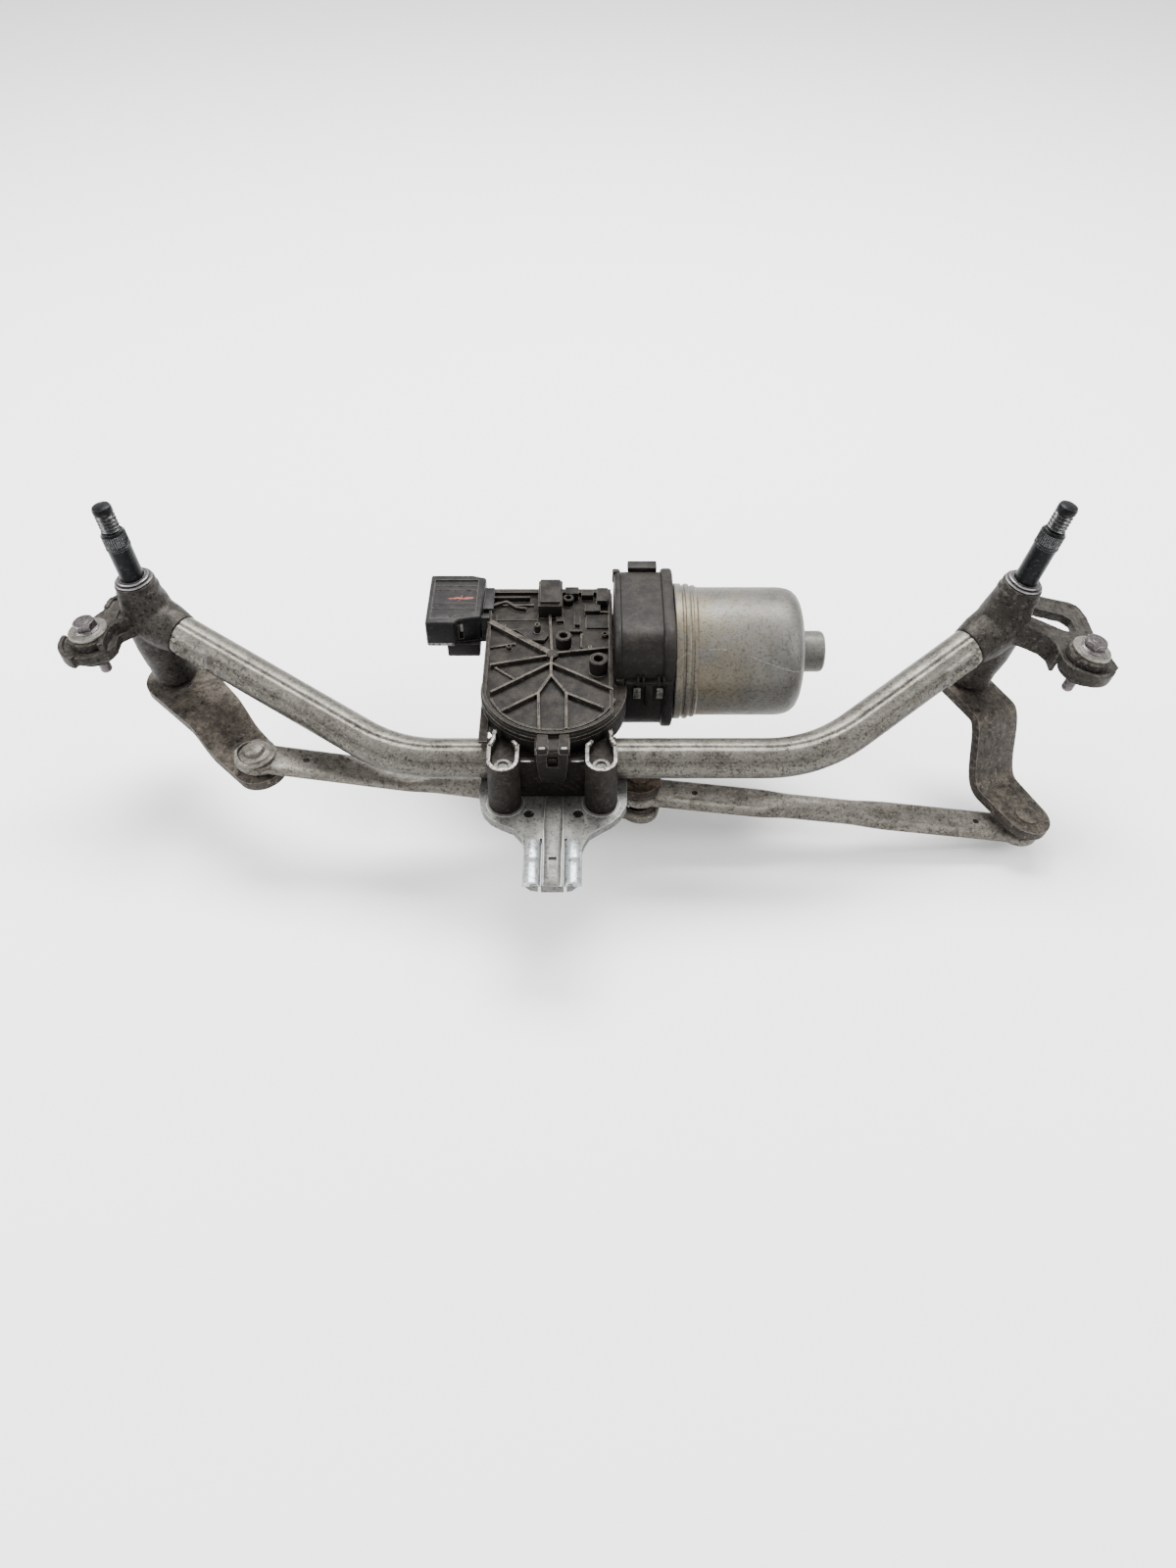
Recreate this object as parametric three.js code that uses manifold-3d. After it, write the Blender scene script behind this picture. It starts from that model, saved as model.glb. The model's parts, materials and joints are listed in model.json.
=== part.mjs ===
// Windscreen wiper drive of a car: gear motor, crank, two links, two wiper
// spindles and the tube frame that carries them. Millimetres, +Z up.
// X runs along the car's width, Y from the front of the cowl to the back.
// Working frame: the motor's output shaft is the Z axis, and the top face of
// the centre bracket is Z = 0. The finished group is moved so that its origin
// lies on the underside of the bracket's tongue.

import * as THREE from 'three';
import { mergeVertices } from 'three/addons/utils/BufferGeometryUtils.js';
import Module from 'manifold-3d';

const wasm = await Module();
wasm.setup();

// ---------------------------------------------------------------------------
// Driving dimensions
// ---------------------------------------------------------------------------

const GAP = 0.3;                 // clearance between two pieces that touch
const SHEET = 5;                 // crank and rocker plate thickness

// Frame tube
const TUBE_D = 20.6;
const TUBE_WALL = 2.0;
const TUBE_BEND_R = 80;
const TUBE_Y = -26;              // the straight middle runs in front of the shaft
const BEND_LEFT_X = -80;
const BEND_RIGHT_X = 133.5;

// Centre bracket
const PLATE_T = 2.5;
const TONGUE_END_Y = -101.5;
const TONGUE_HALF = 13;
const MOUNT_Y = -90;             // where the tongue is held

// Wiper spindles: centre of each pivot housing, lean of the spindle in degrees
// (positive leans outward to +X), and what each carries
const LEFT = {
  name: 'left', centre: new THREE.Vector3(-214, 46, 45), lean: -6,
  collar: 23.5, tip: 68.7, armTop: -42,
  earReach: 31.9, earAngle: -142.7, earLift: 0,
  armReach: 86, armAngle: -49.3, step: 11, stepFrom: 44, stepTo: 58, ball: 5,
  footSide: 1, hubR: 17, eyeR: 12.5,
};
const RIGHT = {
  name: 'right', centre: new THREE.Vector3(233, 38.5, 45), lean: 12.8,
  collar: 27.5, tip: 75.5, armTop: -39,
  earReach: 46.2, earAngle: -38.5, earLift: 7,
  armReach: 72.2, armAngle: -59.15, step: 34.5, stepFrom: 29, stepTo: 44, ball: 46,
  footSide: -1, hubR: 15, eyeR: 13,
};
const SPINDLE_D = 12;
const THREAD_D = 10;
const THREAD_PITCH = 1.5;
const THREAD_LEN = 15;
const SPLINE_LEN = 7;
const HOUSING_R = 13.2;
const COLLAR_R = 10.4;

// Crank, with a pin that carries two balls
const PIN = new THREE.Vector2(44.5, -16.5);
const PIN_END_R = 11.5;
const CRANK_DROP = 6.5;          // the outer end lies lower than the hub
const BALL_R = 5;
const BALL_STEP = 12;            // from the upper ball down to the lower one

// Gear motor
const TEETH = 60;
const WHEEL_R = 32.5;            // pitch radius
const WORM_R = 6.5;              // pitch radius
const TOOTH_H = 0.9;             // tooth height above the pitch line
const WHEEL_T = 6;
const CASE_R = 37;
const CASE_WALL = 2.6;
const CASE_BACK_Y = 80;
const CASE_RIGHT_X = 30.7;
const CASE_LEFT_X = -36.6;
const SHAFT_D = 8;
const OUT_SHAFT_D = 10;
const BOSS_X = 24;
const BOSS_Y = -47.5;
const BOSS_R = 8.3;
const CAN_R = 34;
const CAN_WALL = 2.2;
const CAN_START_X = 62.3;
const CAN_LEN = 68;
const NUB_R = 11;
const NUB_LEN = 13;
const ROTOR_R = 26;
const SLOTS = 10;

// Links
const LINK_D = 13;               // round middle of a link
const FLAT_W = 18;               // flattened ends
const FLAT_H = 6.4;
const EYE_R = 11;
const SOCKET_R = 8.6;

// Worked out from the above
const TUBE_R = TUBE_D / 2;
const TUBE_Z = GAP + TUBE_R;
const FLOOR_Z = 2 * GAP + TUBE_D;            // underside of the gear chamber
const WHEEL_Z = FLOOR_Z + 2.6;
const WORM_Y = WHEEL_R + WORM_R;
const WORM_Z = WHEEL_Z + WHEEL_T / 2;
const RIM_Z = WORM_Z + WORM_R - 0.3;
const GASKET_T = 1;
const COVER_Z = RIM_Z + GASKET_T + 2 * GAP;
const COVER_T = 1.6;
const PITCH = (2 * Math.PI * WHEEL_R) / TEETH;
const CRANK_TOP = -PLATE_T - 4;
const PIN_PLATE_TOP = CRANK_TOP - CRANK_DROP;
const UPPER_BALL_Z = PIN_PLATE_TOP - SHEET - 5.5;
const LOWER_BALL_Z = UPPER_BALL_Z - BALL_STEP;

// ---------------------------------------------------------------------------
// Looks
// ---------------------------------------------------------------------------

const look = (color, roughness, metalness) =>
  new THREE.MeshStandardMaterial({ color, roughness, metalness });

const GREY_TUBE = look(0x8b857a, 0.62, 0.55);
const ZINC = look(0xb4b2ab, 0.42, 0.8);
const CAST = look(0x3c3733, 0.6, 0.5);
const BLACK_PLASTIC = look(0x37332f, 0.72, 0.0);
const CASE_METAL = look(0x2c2825, 0.66, 0.4);
const CAN_STEEL = look(0x85827b, 0.45, 0.75);
const RUBBER = look(0x1c1b1a, 0.85, 0.0);
const BRIGHT_STEEL = look(0x9a98a0, 0.3, 0.95);
const ARM_STEEL = look(0x5b534b, 0.7, 0.5);
const LINK_STEEL = look(0x8d8779, 0.55, 0.6);
const BLACK_STEEL = look(0x23262a, 0.4, 0.8);
const NYLON = look(0x4a4843, 0.6, 0.0);
const ACETAL = look(0xd8d2bd, 0.5, 0.0);
const COPPER = look(0x9c5a34, 0.35, 0.9);
const BRONZE = look(0x8f6e3e, 0.4, 0.85);
const FERRITE = look(0x3d3d40, 0.75, 0.1);
const LAMINATION = look(0x73757a, 0.5, 0.85);
const BOARD_GREEN = look(0x2f5d3a, 0.55, 0.05);
const CARBON = look(0x2a2929, 0.7, 0.2);

// ---------------------------------------------------------------------------
// Geometry helpers
// ---------------------------------------------------------------------------

const object = new THREE.Group();
object.name = 'wiper_drive';
const Z_AXIS = new THREE.Vector3(0, 0, 1);

/** Solid for cutting and joining, from a closed three.js geometry. */
function solid(geometry) {
  const bare = geometry.clone();
  bare.deleteAttribute('normal');
  bare.deleteAttribute('uv');
  const merged = mergeVertices(bare, 1e-4);
  const triVerts = merged.index
    ? new Uint32Array(merged.index.array)
    : Uint32Array.from({ length: merged.attributes.position.count }, (_, i) => i);
  return new wasm.Manifold(new wasm.Mesh({
    numProp: 3,
    vertProperties: new Float32Array(merged.attributes.position.array),
    triVerts,
  }));
}

/** three.js geometry from a solid. */
function geometryOf(body) {
  const mesh = body.getMesh();
  const geometry = new THREE.BufferGeometry();
  geometry.setAttribute('position', new THREE.BufferAttribute(mesh.vertProperties, 3));
  geometry.setIndex(new THREE.BufferAttribute(mesh.triVerts, 1));
  geometry.computeVertexNormals();
  return geometry;
}

/** All geometries joined into one solid. */
const join = (...parts) => parts.map(solid).reduce((a, b) => a.add(b));

/** A solid with the given geometries cut away. */
const cut = (body, ...tools) => tools.map(solid).reduce((a, b) => a.subtract(b), body);

/** Adds one named mesh; shape is a geometry or a solid. */
function node(name, shape, material, parent = object) {
  const geometry = shape.isBufferGeometry ? shape : geometryOf(shape);
  const mesh = new THREE.Mesh(geometry, material);
  mesh.name = name;
  parent.add(mesh);
  return mesh;
}

/** Box from its least and greatest corner. */
function box(x0, x1, y0, y1, z0, z1) {
  const geometry = new THREE.BoxGeometry(x1 - x0, y1 - y0, z1 - z0);
  return geometry.translate((x0 + x1) / 2, (y0 + y1) / 2, (z0 + z1) / 2);
}

/** Upright cylinder centred on x, y. */
function rod(radius, z0, z1, x = 0, y = 0, segments = 14) {
  const geometry = new THREE.CylinderGeometry(radius, radius, z1 - z0, segments);
  return geometry.rotateX(Math.PI / 2).translate(x, y, (z0 + z1) / 2);
}

/** Body turned about Z from [radius, height] pairs. */
function turned(profile, segments = 14) {
  const points = profile.map(([r, z]) => new THREE.Vector2(r, z));
  return new THREE.LatheGeometry(points, segments).rotateX(Math.PI / 2);
}

/** Closed ring turned about Z from a profile that does not reach the axis. */
const ring = (profile, segments = 14) => turned([...profile, profile[0]], segments);

/** Plain washer or bush. */
const bush = (inner, outer, z0, z1, segments = 14) =>
  ring([[inner, z0], [outer, z0], [outer, z1], [inner, z1]], segments);

/** Flat shape raised from z0 to z1. */
function prism(shape, z0, z1, curveSegments = 12) {
  const geometry = new THREE.ExtrudeGeometry(
    shape, { depth: z1 - z0, bevelEnabled: false, curveSegments });
  return geometry.translate(0, 0, z0);
}

/** Polygon shape from [x, y] pairs. */
const polygon = (pairs) => new THREE.Shape(pairs.map(([x, y]) => new THREE.Vector2(x, y)));

/** Turns a body built about Z so that it lies along +X on the motor's axis. */
const onMotorAxis = (geometry) => geometry.rotateY(Math.PI / 2).translate(0, WORM_Y, WORM_Z);

/** Square with its own radius at each corner, counted from +X +Y. */
function roundedSquare(half, radii) {
  const shape = new THREE.Shape();
  radii.forEach((radius, k) => {
    const angle = (Math.PI / 2) * k;
    const x = (k === 0 || k === 3 ? 1 : -1) * (half - radius);
    const y = (k < 2 ? 1 : -1) * (half - radius);
    shape.absarc(x, y, radius, angle, angle + Math.PI / 2);
  });
  return shape;
}

/** Outline of a flat lever: a round hub at 0 and a round eye at reach along +X. */
function leverShape(hubR, eyeR, reach) {
  const tilt = Math.asin((hubR - eyeR) / reach);
  const shape = new THREE.Shape();
  shape.absarc(0, 0, hubR, Math.PI / 2 - tilt, 1.5 * Math.PI + tilt);
  shape.absarc(reach, 0, eyeR, tilt - Math.PI / 2, Math.PI / 2 - tilt);
  return shape;
}

/** Lever pressed from sheet: flat, then a step down between two distances. */
function steppedLever({ hubR, eyeR, reach, top, drop, from, to }) {
  const back = -hubR - 1;
  const front = reach + eyeR + 1;
  const slope = Math.atan2(drop, to - from);
  const shift = SHEET * Math.tan(slope / 2);
  const side = polygon([
    [back, top], [back, top - SHEET],
    [from - shift, top - SHEET], [to - shift, top - SHEET - drop],
    [front, top - SHEET - drop], [front, top - drop],
    [to, top - drop], [from, top],
  ]);
  const wide = Math.max(hubR, eyeR) + 1;
  const sheet = prism(side, -wide, wide).rotateX(Math.PI / 2);
  const plan = prism(leverShape(hubR, eyeR, reach), top - SHEET - drop - 1, top + 1);
  return solid(sheet).intersect(solid(plan));
}

/** Screw thread or worm along Z: one start, radius from root to crest. */
function helix({ root, crest, pitch, z0, z1, phase, hand, segments, rowsPerTurn }) {
  const rows = Math.round(((z1 - z0) / pitch) * rowsPerTurn);
  const geometry = new THREE.CylinderGeometry(1, 1, z1 - z0, segments, rows);
  geometry.rotateX(Math.PI / 2).translate(0, 0, (z0 + z1) / 2);
  const position = geometry.attributes.position;
  for (let i = 0; i < position.count; i += 1) {
    const x = position.getX(i);
    const y = position.getY(i);
    const z = position.getZ(i);
    const turn = (z - phase) / pitch - (hand * Math.atan2(y, x)) / (2 * Math.PI);
    const away = Math.abs(turn - Math.round(turn));       // 0 on the crest
    const rise = THREE.MathUtils.clamp((0.31 - away) / 0.17, 0, 1);
    const ends = Math.min(1, (z - z0) / pitch, (z1 - z) / pitch);
    const radius = root + (crest - root) * rise * Math.max(0, ends);
    position.setXY(i, x * radius, y * radius);
  }
  return geometry;
}

/** Bar lofted through stations of point, up direction, half width, half height. */
function loft(stations, segments = 12) {
  const last = stations.length - 1;
  const geometry = new THREE.CylinderGeometry(1, 1, 1, segments, last);
  const position = geometry.attributes.position;
  const forward = new THREE.Vector3();
  const side = new THREE.Vector3();
  for (let i = 0; i < position.count; i += 1) {
    const k = Math.round((0.5 - position.getY(i)) * last);
    const { point, up, halfW, halfH, square } = stations[k];
    forward.subVectors(
      stations[Math.min(k + 1, last)].point, stations[Math.max(k - 1, 0)].point).normalize();
    side.crossVectors(up, forward).normalize();
    const x = position.getX(i);
    const z = position.getZ(i);
    const blunt = (v) => Math.sign(v) * Math.abs(v) ** square;
    const out = point.clone()
      .addScaledVector(side, halfW * blunt(x))
      .addScaledVector(up, halfH * blunt(z));
    position.setXYZ(i, out.x, out.y, out.z);
  }
  return geometry;
}

/** Hexagon bolt: head on top of z, shank below, built about Z. */
function hexBolt({ across, head, shankR, shankLen, z, x = 0, y = 0 }) {
  const hex = new THREE.CylinderGeometry(across / Math.sqrt(3), across / Math.sqrt(3), head, 6);
  hex.rotateX(Math.PI / 2).translate(x, y, z + head / 2);
  return join(hex, rod(shankR, z - shankLen, z + 0.5, x, y, 16));
}

// ---------------------------------------------------------------------------
// Frame: tube and centre bracket
// ---------------------------------------------------------------------------

/** Point of a spindle's own frame (u across, v back, s up the spindle) in the working frame. */
function pivotPoint(pivot, u, v, s) {
  const lean = THREE.MathUtils.degToRad(pivot.lean);
  return new THREE.Vector3(u, v, s).applyAxisAngle(new THREE.Vector3(0, 1, 0), lean)
    .add(pivot.centre);
}

const bendLeft = new THREE.Vector3(BEND_LEFT_X, TUBE_Y, TUBE_Z);
const bendRight = new THREE.Vector3(BEND_RIGHT_X, TUBE_Y, TUBE_Z);
const legOf = (pivot, corner) => corner.clone().sub(pivot.centre).normalize();
LEFT.leg = legOf(LEFT, bendLeft);
RIGHT.leg = legOf(RIGHT, bendRight);
const TUBE_FROM = HOUSING_R + 8;             // the tube ends this far from a spindle

function frameTube() {
  const start = LEFT.centre.clone().addScaledVector(LEFT.leg, TUBE_FROM);
  const end = RIGHT.centre.clone().addScaledVector(RIGHT.leg, TUBE_FROM);
  const route = new THREE.CurvePath();
  let from = start;
  for (const [corner, leg] of [[bendLeft, LEFT.leg], [bendRight, RIGHT.leg]]) {
    const half = Math.acos(Math.abs(leg.x)) / 2;
    const reach = TUBE_BEND_R * Math.tan(half);
    const alongLeg = corner.clone().addScaledVector(leg, -reach);
    const alongMiddle = corner.clone();
    alongMiddle.x += Math.sign(leg.x) * reach;
    const [first, second] = leg.x > 0 ? [alongLeg, alongMiddle] : [alongMiddle, alongLeg];
    route.add(new THREE.LineCurve3(from, first));
    route.add(new THREE.QuadraticBezierCurve3(first, corner, second));
    from = second;
  }
  route.add(new THREE.LineCurve3(from, end));
  const section = new THREE.Shape().absarc(0, 0, TUBE_R, 0, 2 * Math.PI);
  section.holes.push(new THREE.Path().absarc(0, 0, TUBE_R - TUBE_WALL, 0, 2 * Math.PI, true));
  return new THREE.ExtrudeGeometry(
    section, { steps: 23, curveSegments: 8, bevelEnabled: false, extrudePath: route });
}
node('frame_tube', frameTube(), GREY_TUBE);

function bracketOutline() {
  const half = [
    [TONGUE_HALF, TONGUE_END_Y + 5], [TONGUE_HALF + 2.5, -68], [BOSS_X + 9, -56],
    [BOSS_X + 13, -40], [BOSS_X + 12, -18],
  ];
  const shape = new THREE.Shape();
  shape.absarc(0, 0, 27, 0, Math.PI);
  half.slice().reverse().forEach(([x, y]) => shape.lineTo(-x, y));
  shape.lineTo(-TONGUE_HALF + 5, TONGUE_END_Y);
  shape.lineTo(TONGUE_HALF - 5, TONGUE_END_Y);
  half.forEach(([x, y]) => shape.lineTo(x, y));
  return shape;
}

/** Sheet curled down along one long edge of the tongue. */
function tongueCurl(side) {
  const outer = 4.5;
  const profile = new THREE.Shape();
  profile.absarc(0, -outer, outer, Math.PI / 2, -Math.PI / 3, true);
  profile.absarc(0, -outer, outer - PLATE_T, -Math.PI / 3, Math.PI / 2, false);
  const strip = prism(profile, 0, 26, 4).rotateX(Math.PI / 2);
  if (side < 0) strip.rotateZ(Math.PI).translate(0, -26, 0);
  return strip.translate(side * (TONGUE_HALF - 0.6), -71.5, 0);
}

function centreBracket() {
  const ribBar = prism(polygon([[-4.6, -0.5], [4.6, -0.5], [3, 1.8], [-3, 1.8]]), 0, 48);
  ribBar.rotateX(Math.PI / 2).translate(0, TONGUE_END_Y + 49, 0);
  const body = join(
    prism(bracketOutline(), -PLATE_T, 0), ribBar, tongueCurl(1), tongueCurl(-1));
  return cut(
    body,
    rod(12.8, -PLATE_T - 1, 1),
    rod(2.6, -PLATE_T - 1, 1, -12.2, -55, 16),
    rod(2.6, -PLATE_T - 1, 1, 12.2, -55, 16),
    rod(3.3, -PLATE_T - 1, 1, -BOSS_X, BOSS_Y, 16),
    rod(3.3, -PLATE_T - 1, 1, BOSS_X, BOSS_Y, 16),
  );
}
node('centre_bracket', centreBracket(), ZINC);

// ---------------------------------------------------------------------------
// Gear motor: case, cover, neck and can
// ---------------------------------------------------------------------------

/** Outline of the gear case: round in front, straight sides, square back. */
function caseOutline(inset) {
  const radius = CASE_R - inset;
  const left = -CASE_LEFT_X - inset;
  const right = CASE_RIGHT_X - inset;
  const back = CASE_BACK_Y - inset;
  const shape = new THREE.Shape();
  shape.moveTo(right, back);
  shape.lineTo(-left, back);
  shape.absarc(0, 0, radius, Math.PI - Math.acos(left / radius),
    2 * Math.PI + Math.acos(right / radius), false);
  return shape;
}

const wormBore = (radius, x0, x1) => onMotorAxis(rod(radius, x0, x1));

function gearCase() {
  const wormFloor = WORM_Z - WORM_R - 2.3;
  const boxFront = WORM_Y - 11.5;
  const parts = [
    prism(caseOutline(0), FLOOR_Z, RIM_Z, 12),
    box(CASE_LEFT_X, CASE_RIGHT_X, boxFront, CASE_BACK_Y, wormFloor - 2.4, FLOOR_Z + 1),
    box(-BOSS_X - 6, BOSS_X + 6, BOSS_Y + 4.5, BOSS_Y + 8.5, GAP, FLOOR_Z + 1),
    box(-BOSS_X - 6, BOSS_X + 6, BOSS_Y + 4.5, -20, FLOOR_Z, FLOOR_Z + 2.2),
    box(-4, 4, BOSS_Y + 1, BOSS_Y + 6, FLOOR_Z - 1, FLOOR_Z + 2.2),
    rod(OUT_SHAFT_D / 2 + 5.2, -1.5, FLOOR_Z + 1),
  ];
  for (const side of [-1, 1]) {
    const x = side * BOSS_X;
    parts.push(rod(BOSS_R, GAP, FLOOR_Z + 10, x, BOSS_Y));
    parts.push(box(x - 6.5, x + 6.5, BOSS_Y, -24, FLOOR_Z, FLOOR_Z + 7));
    parts.push(box(x + side * 2.5 - 3, x + side * 2.5 + 3, BOSS_Y + 4, -9, GAP, FLOOR_Z + 1));
  }
  const tools = [
    prism(caseOutline(CASE_WALL), FLOOR_Z + 2.2, RIM_Z + 1, 12),
    box(CASE_LEFT_X + CASE_WALL, CASE_RIGHT_X - CASE_WALL, boxFront + 2.4,
      CASE_BACK_Y - CASE_WALL, wormFloor, RIM_Z + 1),
    rod(TUBE_R + GAP + 0.1, -150, 150, 0, 0, 28).rotateY(Math.PI / 2).translate(0, TUBE_Y, TUBE_Z),
    wormBore(9, CASE_RIGHT_X - 6, CASE_RIGHT_X + 3),
    rod(OUT_SHAFT_D / 2 + 2.6, -3, FLOOR_Z + 5),
  ];
  for (const side of [-1, 1]) {
    const x = side * BOSS_X;
    tools.push(rod(5.6, FLOOR_Z + 3, FLOOR_Z + 12, x, BOSS_Y, 20));
    tools.push(box(x - 3.2, x + 3.2, BOSS_Y, BOSS_Y + 9, FLOOR_Z + 3, FLOOR_Z + 12));
    tools.push(rod(2.9, -1, FLOOR_Z - 4, x, BOSS_Y, 16));
  }
  const seat = cut(
    join(box(CASE_LEFT_X + 1, CASE_LEFT_X + 9.6, WORM_Y - 7.5, WORM_Y + 7.5,
      wormFloor - 1, RIM_Z - 1)),
    wormBore(SHAFT_D / 2 + GAP, CASE_LEFT_X + CASE_WALL, CASE_LEFT_X + 12),
  );
  return cut(join(...parts), ...tools).add(seat);
}
node('gear_case', gearCase(), CASE_METAL);

const outBush = bush(OUT_SHAFT_D / 2 + GAP, OUT_SHAFT_D / 2 + 2.3, -1, FLOOR_Z + 1.8);
node('output_bush', outBush, BRONZE);

function coverGasket() {
  const shape = caseOutline(GAP);
  shape.holes.push(new THREE.Path(caseOutline(CASE_WALL - GAP).getPoints(12).reverse()));
  return prism(shape, RIM_Z + GAP, RIM_Z + GAP + GASKET_T, 12);
}
node('cover_gasket', coverGasket(), RUBBER);

/** Upright rib on the cover between two points. */
function coverRib(x0, y0, x1, y1, height, width = 1.3) {
  const length = Math.hypot(x1 - x0, y1 - y0);
  const bar = box(0, length, -width / 2, width / 2, -0.5, height);
  return bar.rotateZ(Math.atan2(y1 - y0, x1 - x0)).translate(x0, y0, COVER_Z + COVER_T);
}

// The front latch hangs in front of the case and snaps over its catch
const LATCH_Y = BOSS_Y + 4.5 - GAP;

// The plug socket stands to the left of the cover, its mouth facing -X
const PLUG = { x0: -69, x1: -41, y0: 43, y1: 86, z0: COVER_Z - 8, z1: COVER_Z + 8, wall: 3 };
const PLUG_BACK_X = -49.6;

function gearCover() {
  const top = COVER_Z + COVER_T;
  const inset = 1.5;
  const plate = prism(caseOutline(inset), COVER_Z, top, 12);
  const rimShape = caseOutline(inset);
  rimShape.holes.push(new THREE.Path(caseOutline(inset + 1.5).getPoints(12).reverse()));
  const hubY = 26;
  const starY = 14;
  const parts = [
    plate,
    prism(rimShape, top - 0.5, top + 1.6, 12),
    coverRib(0, hubY, -34, 14, 2.4),
    coverRib(0, hubY, -34, 25, 2.4),
    coverRib(0, hubY, -34, 46, 2.6),
    coverRib(0, hubY, 0, starY, 2.6),
    coverRib(0, hubY, 0, 60, 3.2, 2),
    coverRib(0, hubY, 28, 31, 2.4),
    coverRib(0, 22, -33, 1, 2.6),
    coverRib(0, 22, 33, 1, 2.6),
    coverRib(0, starY, -7.5, -1, 2.4),
    coverRib(0, starY, 7.5, -1, 2.4),
    coverRib(-7.5, -1, -28, -14, 2.4),
    coverRib(7.5, -1, 28, -14, 2.4),
    coverRib(-7.5, -1, -6.5, -34, 2.4),
    coverRib(7.5, -1, 6.5, -34, 2.4),
    box(-6.5, 6.5, 60, 78, top - 0.5, top + 10),
    rod(4.2, top - 0.5, top + 7, 5, 38, 20),
    rod(4.8, top - 0.5, top + 8, 22, 19, 20),
    rod(2.4, top - 0.5, top + 3.5, -9, 41, 16),
    box(-9, 9, LATCH_Y - 3.4, -34, COVER_Z, top + 1),
    box(-9, 9, LATCH_Y - 3.4, LATCH_Y, COVER_Z - 20, top),
    box(PLUG.x0, PLUG.x1, PLUG.y0, PLUG.y1, PLUG.z0, PLUG.z1),
    box(PLUG.x1 - 2, CASE_LEFT_X + 6, PLUG.y0 + 3, CASE_BACK_Y - inset - 0.2, COVER_Z, top + 4),
    box(PLUG.x0 + 10, PLUG.x1 - 1, PLUG.y0 + 6, PLUG.y0 + 14, PLUG.z1 - 1, PLUG.z1 + 1.2),
  ];
  const tools = [
    box(PLUG.x0 - 1, PLUG_BACK_X, PLUG.y0 + PLUG.wall, PLUG.y1 - PLUG.wall,
      PLUG.z0 + PLUG.wall, PLUG.z1 - PLUG.wall),
    rod(2.3, top + 1, top + 9, 5, 38, 16),
    rod(3, top + 1, top + 10, 22, 19, 16),
    box(-4.5, 4.5, LATCH_Y - 5, LATCH_Y + 1, FLOOR_Z - 1.6, COVER_Z - 4.5),
  ];
  return cut(join(...parts), ...tools);
}
node('gear_cover', gearCover(), BLACK_PLASTIC);

function connectorPins() {
  const barX = PLUG_BACK_X - GAP;
  const midY = (PLUG.y0 + PLUG.y1) / 2;
  const midZ = (PLUG.z0 + PLUG.z1) / 2;
  const parts = [box(barX - 1.6, barX, midY - 15, midY + 15, midZ - 3, midZ + 3)];
  for (let k = -2; k <= 2; k += 1) {
    const y = midY + k * 6;
    parts.push(box(barX - 14, barX - 1, y - 1.4, y + 1.4, midZ - 0.5, midZ + 0.5));
  }
  return join(...parts);
}
node('connector_pins', connectorPins(), BRONZE);

node('control_board',
  box(CASE_LEFT_X + CASE_WALL + 1, CASE_RIGHT_X - CASE_WALL - 1, WORM_Y + 12, CASE_BACK_Y - 5,
    WORM_Z - 1, WORM_Z + 0.6), BOARD_GREEN);

const NECK_HALF = CAN_R + 1.5;
const NECK_CORNERS = [30, 14, 14, 30];       // the lower corners are rounder
const NECK_X0 = CASE_RIGHT_X + GAP;
const BEARING_R = 11;

function motorNeck() {
  const depth = CAN_START_X - GAP - NECK_X0;
  const shell = prism(roundedSquare(NECK_HALF, NECK_CORNERS), 0, depth, 6);
  shell.translate(0, 0, NECK_X0);
  return cut(
    join(onMotorAxis(shell)),
    rod(CASE_R + GAP + 0.2, -60, 120, 0, 0, 36),
    wormBore(CAN_R - CAN_WALL - 0.8, NECK_X0 + 15, CAN_START_X + 1),
    wormBore(BEARING_R + GAP, NECK_X0 + 7.3, NECK_X0 + 16),
    wormBore(7.5, NECK_X0 - 1, NECK_X0 + 8),
  );
}
node('motor_neck', motorNeck(), BLACK_PLASTIC);

function motorCan() {
  const x0 = CAN_START_X;
  const x1 = x0 + CAN_LEN;
  const inner = CAN_R - CAN_WALL;
  return onMotorAxis(turned([
    [0, x1 + NUB_LEN - 2.2], [SHAFT_D / 2 + 3.3, x1 + NUB_LEN - 2.2],
    [SHAFT_D / 2 + 3.3, x1 - 1.5], [CAN_R - 10, x1 - 3.8], [CAN_R - 5, x1 - 6.6],
    [inner, x1 - 13], [inner, x0],
    [CAN_R + 2, x0], [CAN_R + 2, x0 + 2.6], [CAN_R + 0.6, x0 + 3.8], [CAN_R + 0.6, x0 + 7.4],
    [CAN_R + 1.4, x0 + 8], [CAN_R + 1.4, x0 + 10.6], [CAN_R, x0 + 11.4],
    [CAN_R, x1 - 11.5], [CAN_R - 3.2, x1 - 5], [CAN_R - 9, x1 - 1.4], [NUB_R, x1],
    [NUB_R, x1 + NUB_LEN - 1], [NUB_R - 1, x1 + NUB_LEN], [0, x1 + NUB_LEN],
  ], 24));
}
node('motor_can', motorCan(), CAN_STEEL);

function magnet(turn) {
  const outer = CAN_R - CAN_WALL - GAP;
  const half = THREE.MathUtils.degToRad(62);
  const shape = new THREE.Shape();
  shape.absarc(0, 0, outer, -half, half, false);
  shape.absarc(0, 0, ROTOR_R + 0.9, half, -half, true);
  const arc = prism(shape, CAN_START_X + 10, CAN_START_X + CAN_LEN - 14, 14);
  return onMotorAxis(arc.rotateZ(turn));
}
node('magnet_front', magnet(Math.PI / 2), FERRITE);
node('magnet_back', magnet(-Math.PI / 2), FERRITE);

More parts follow.
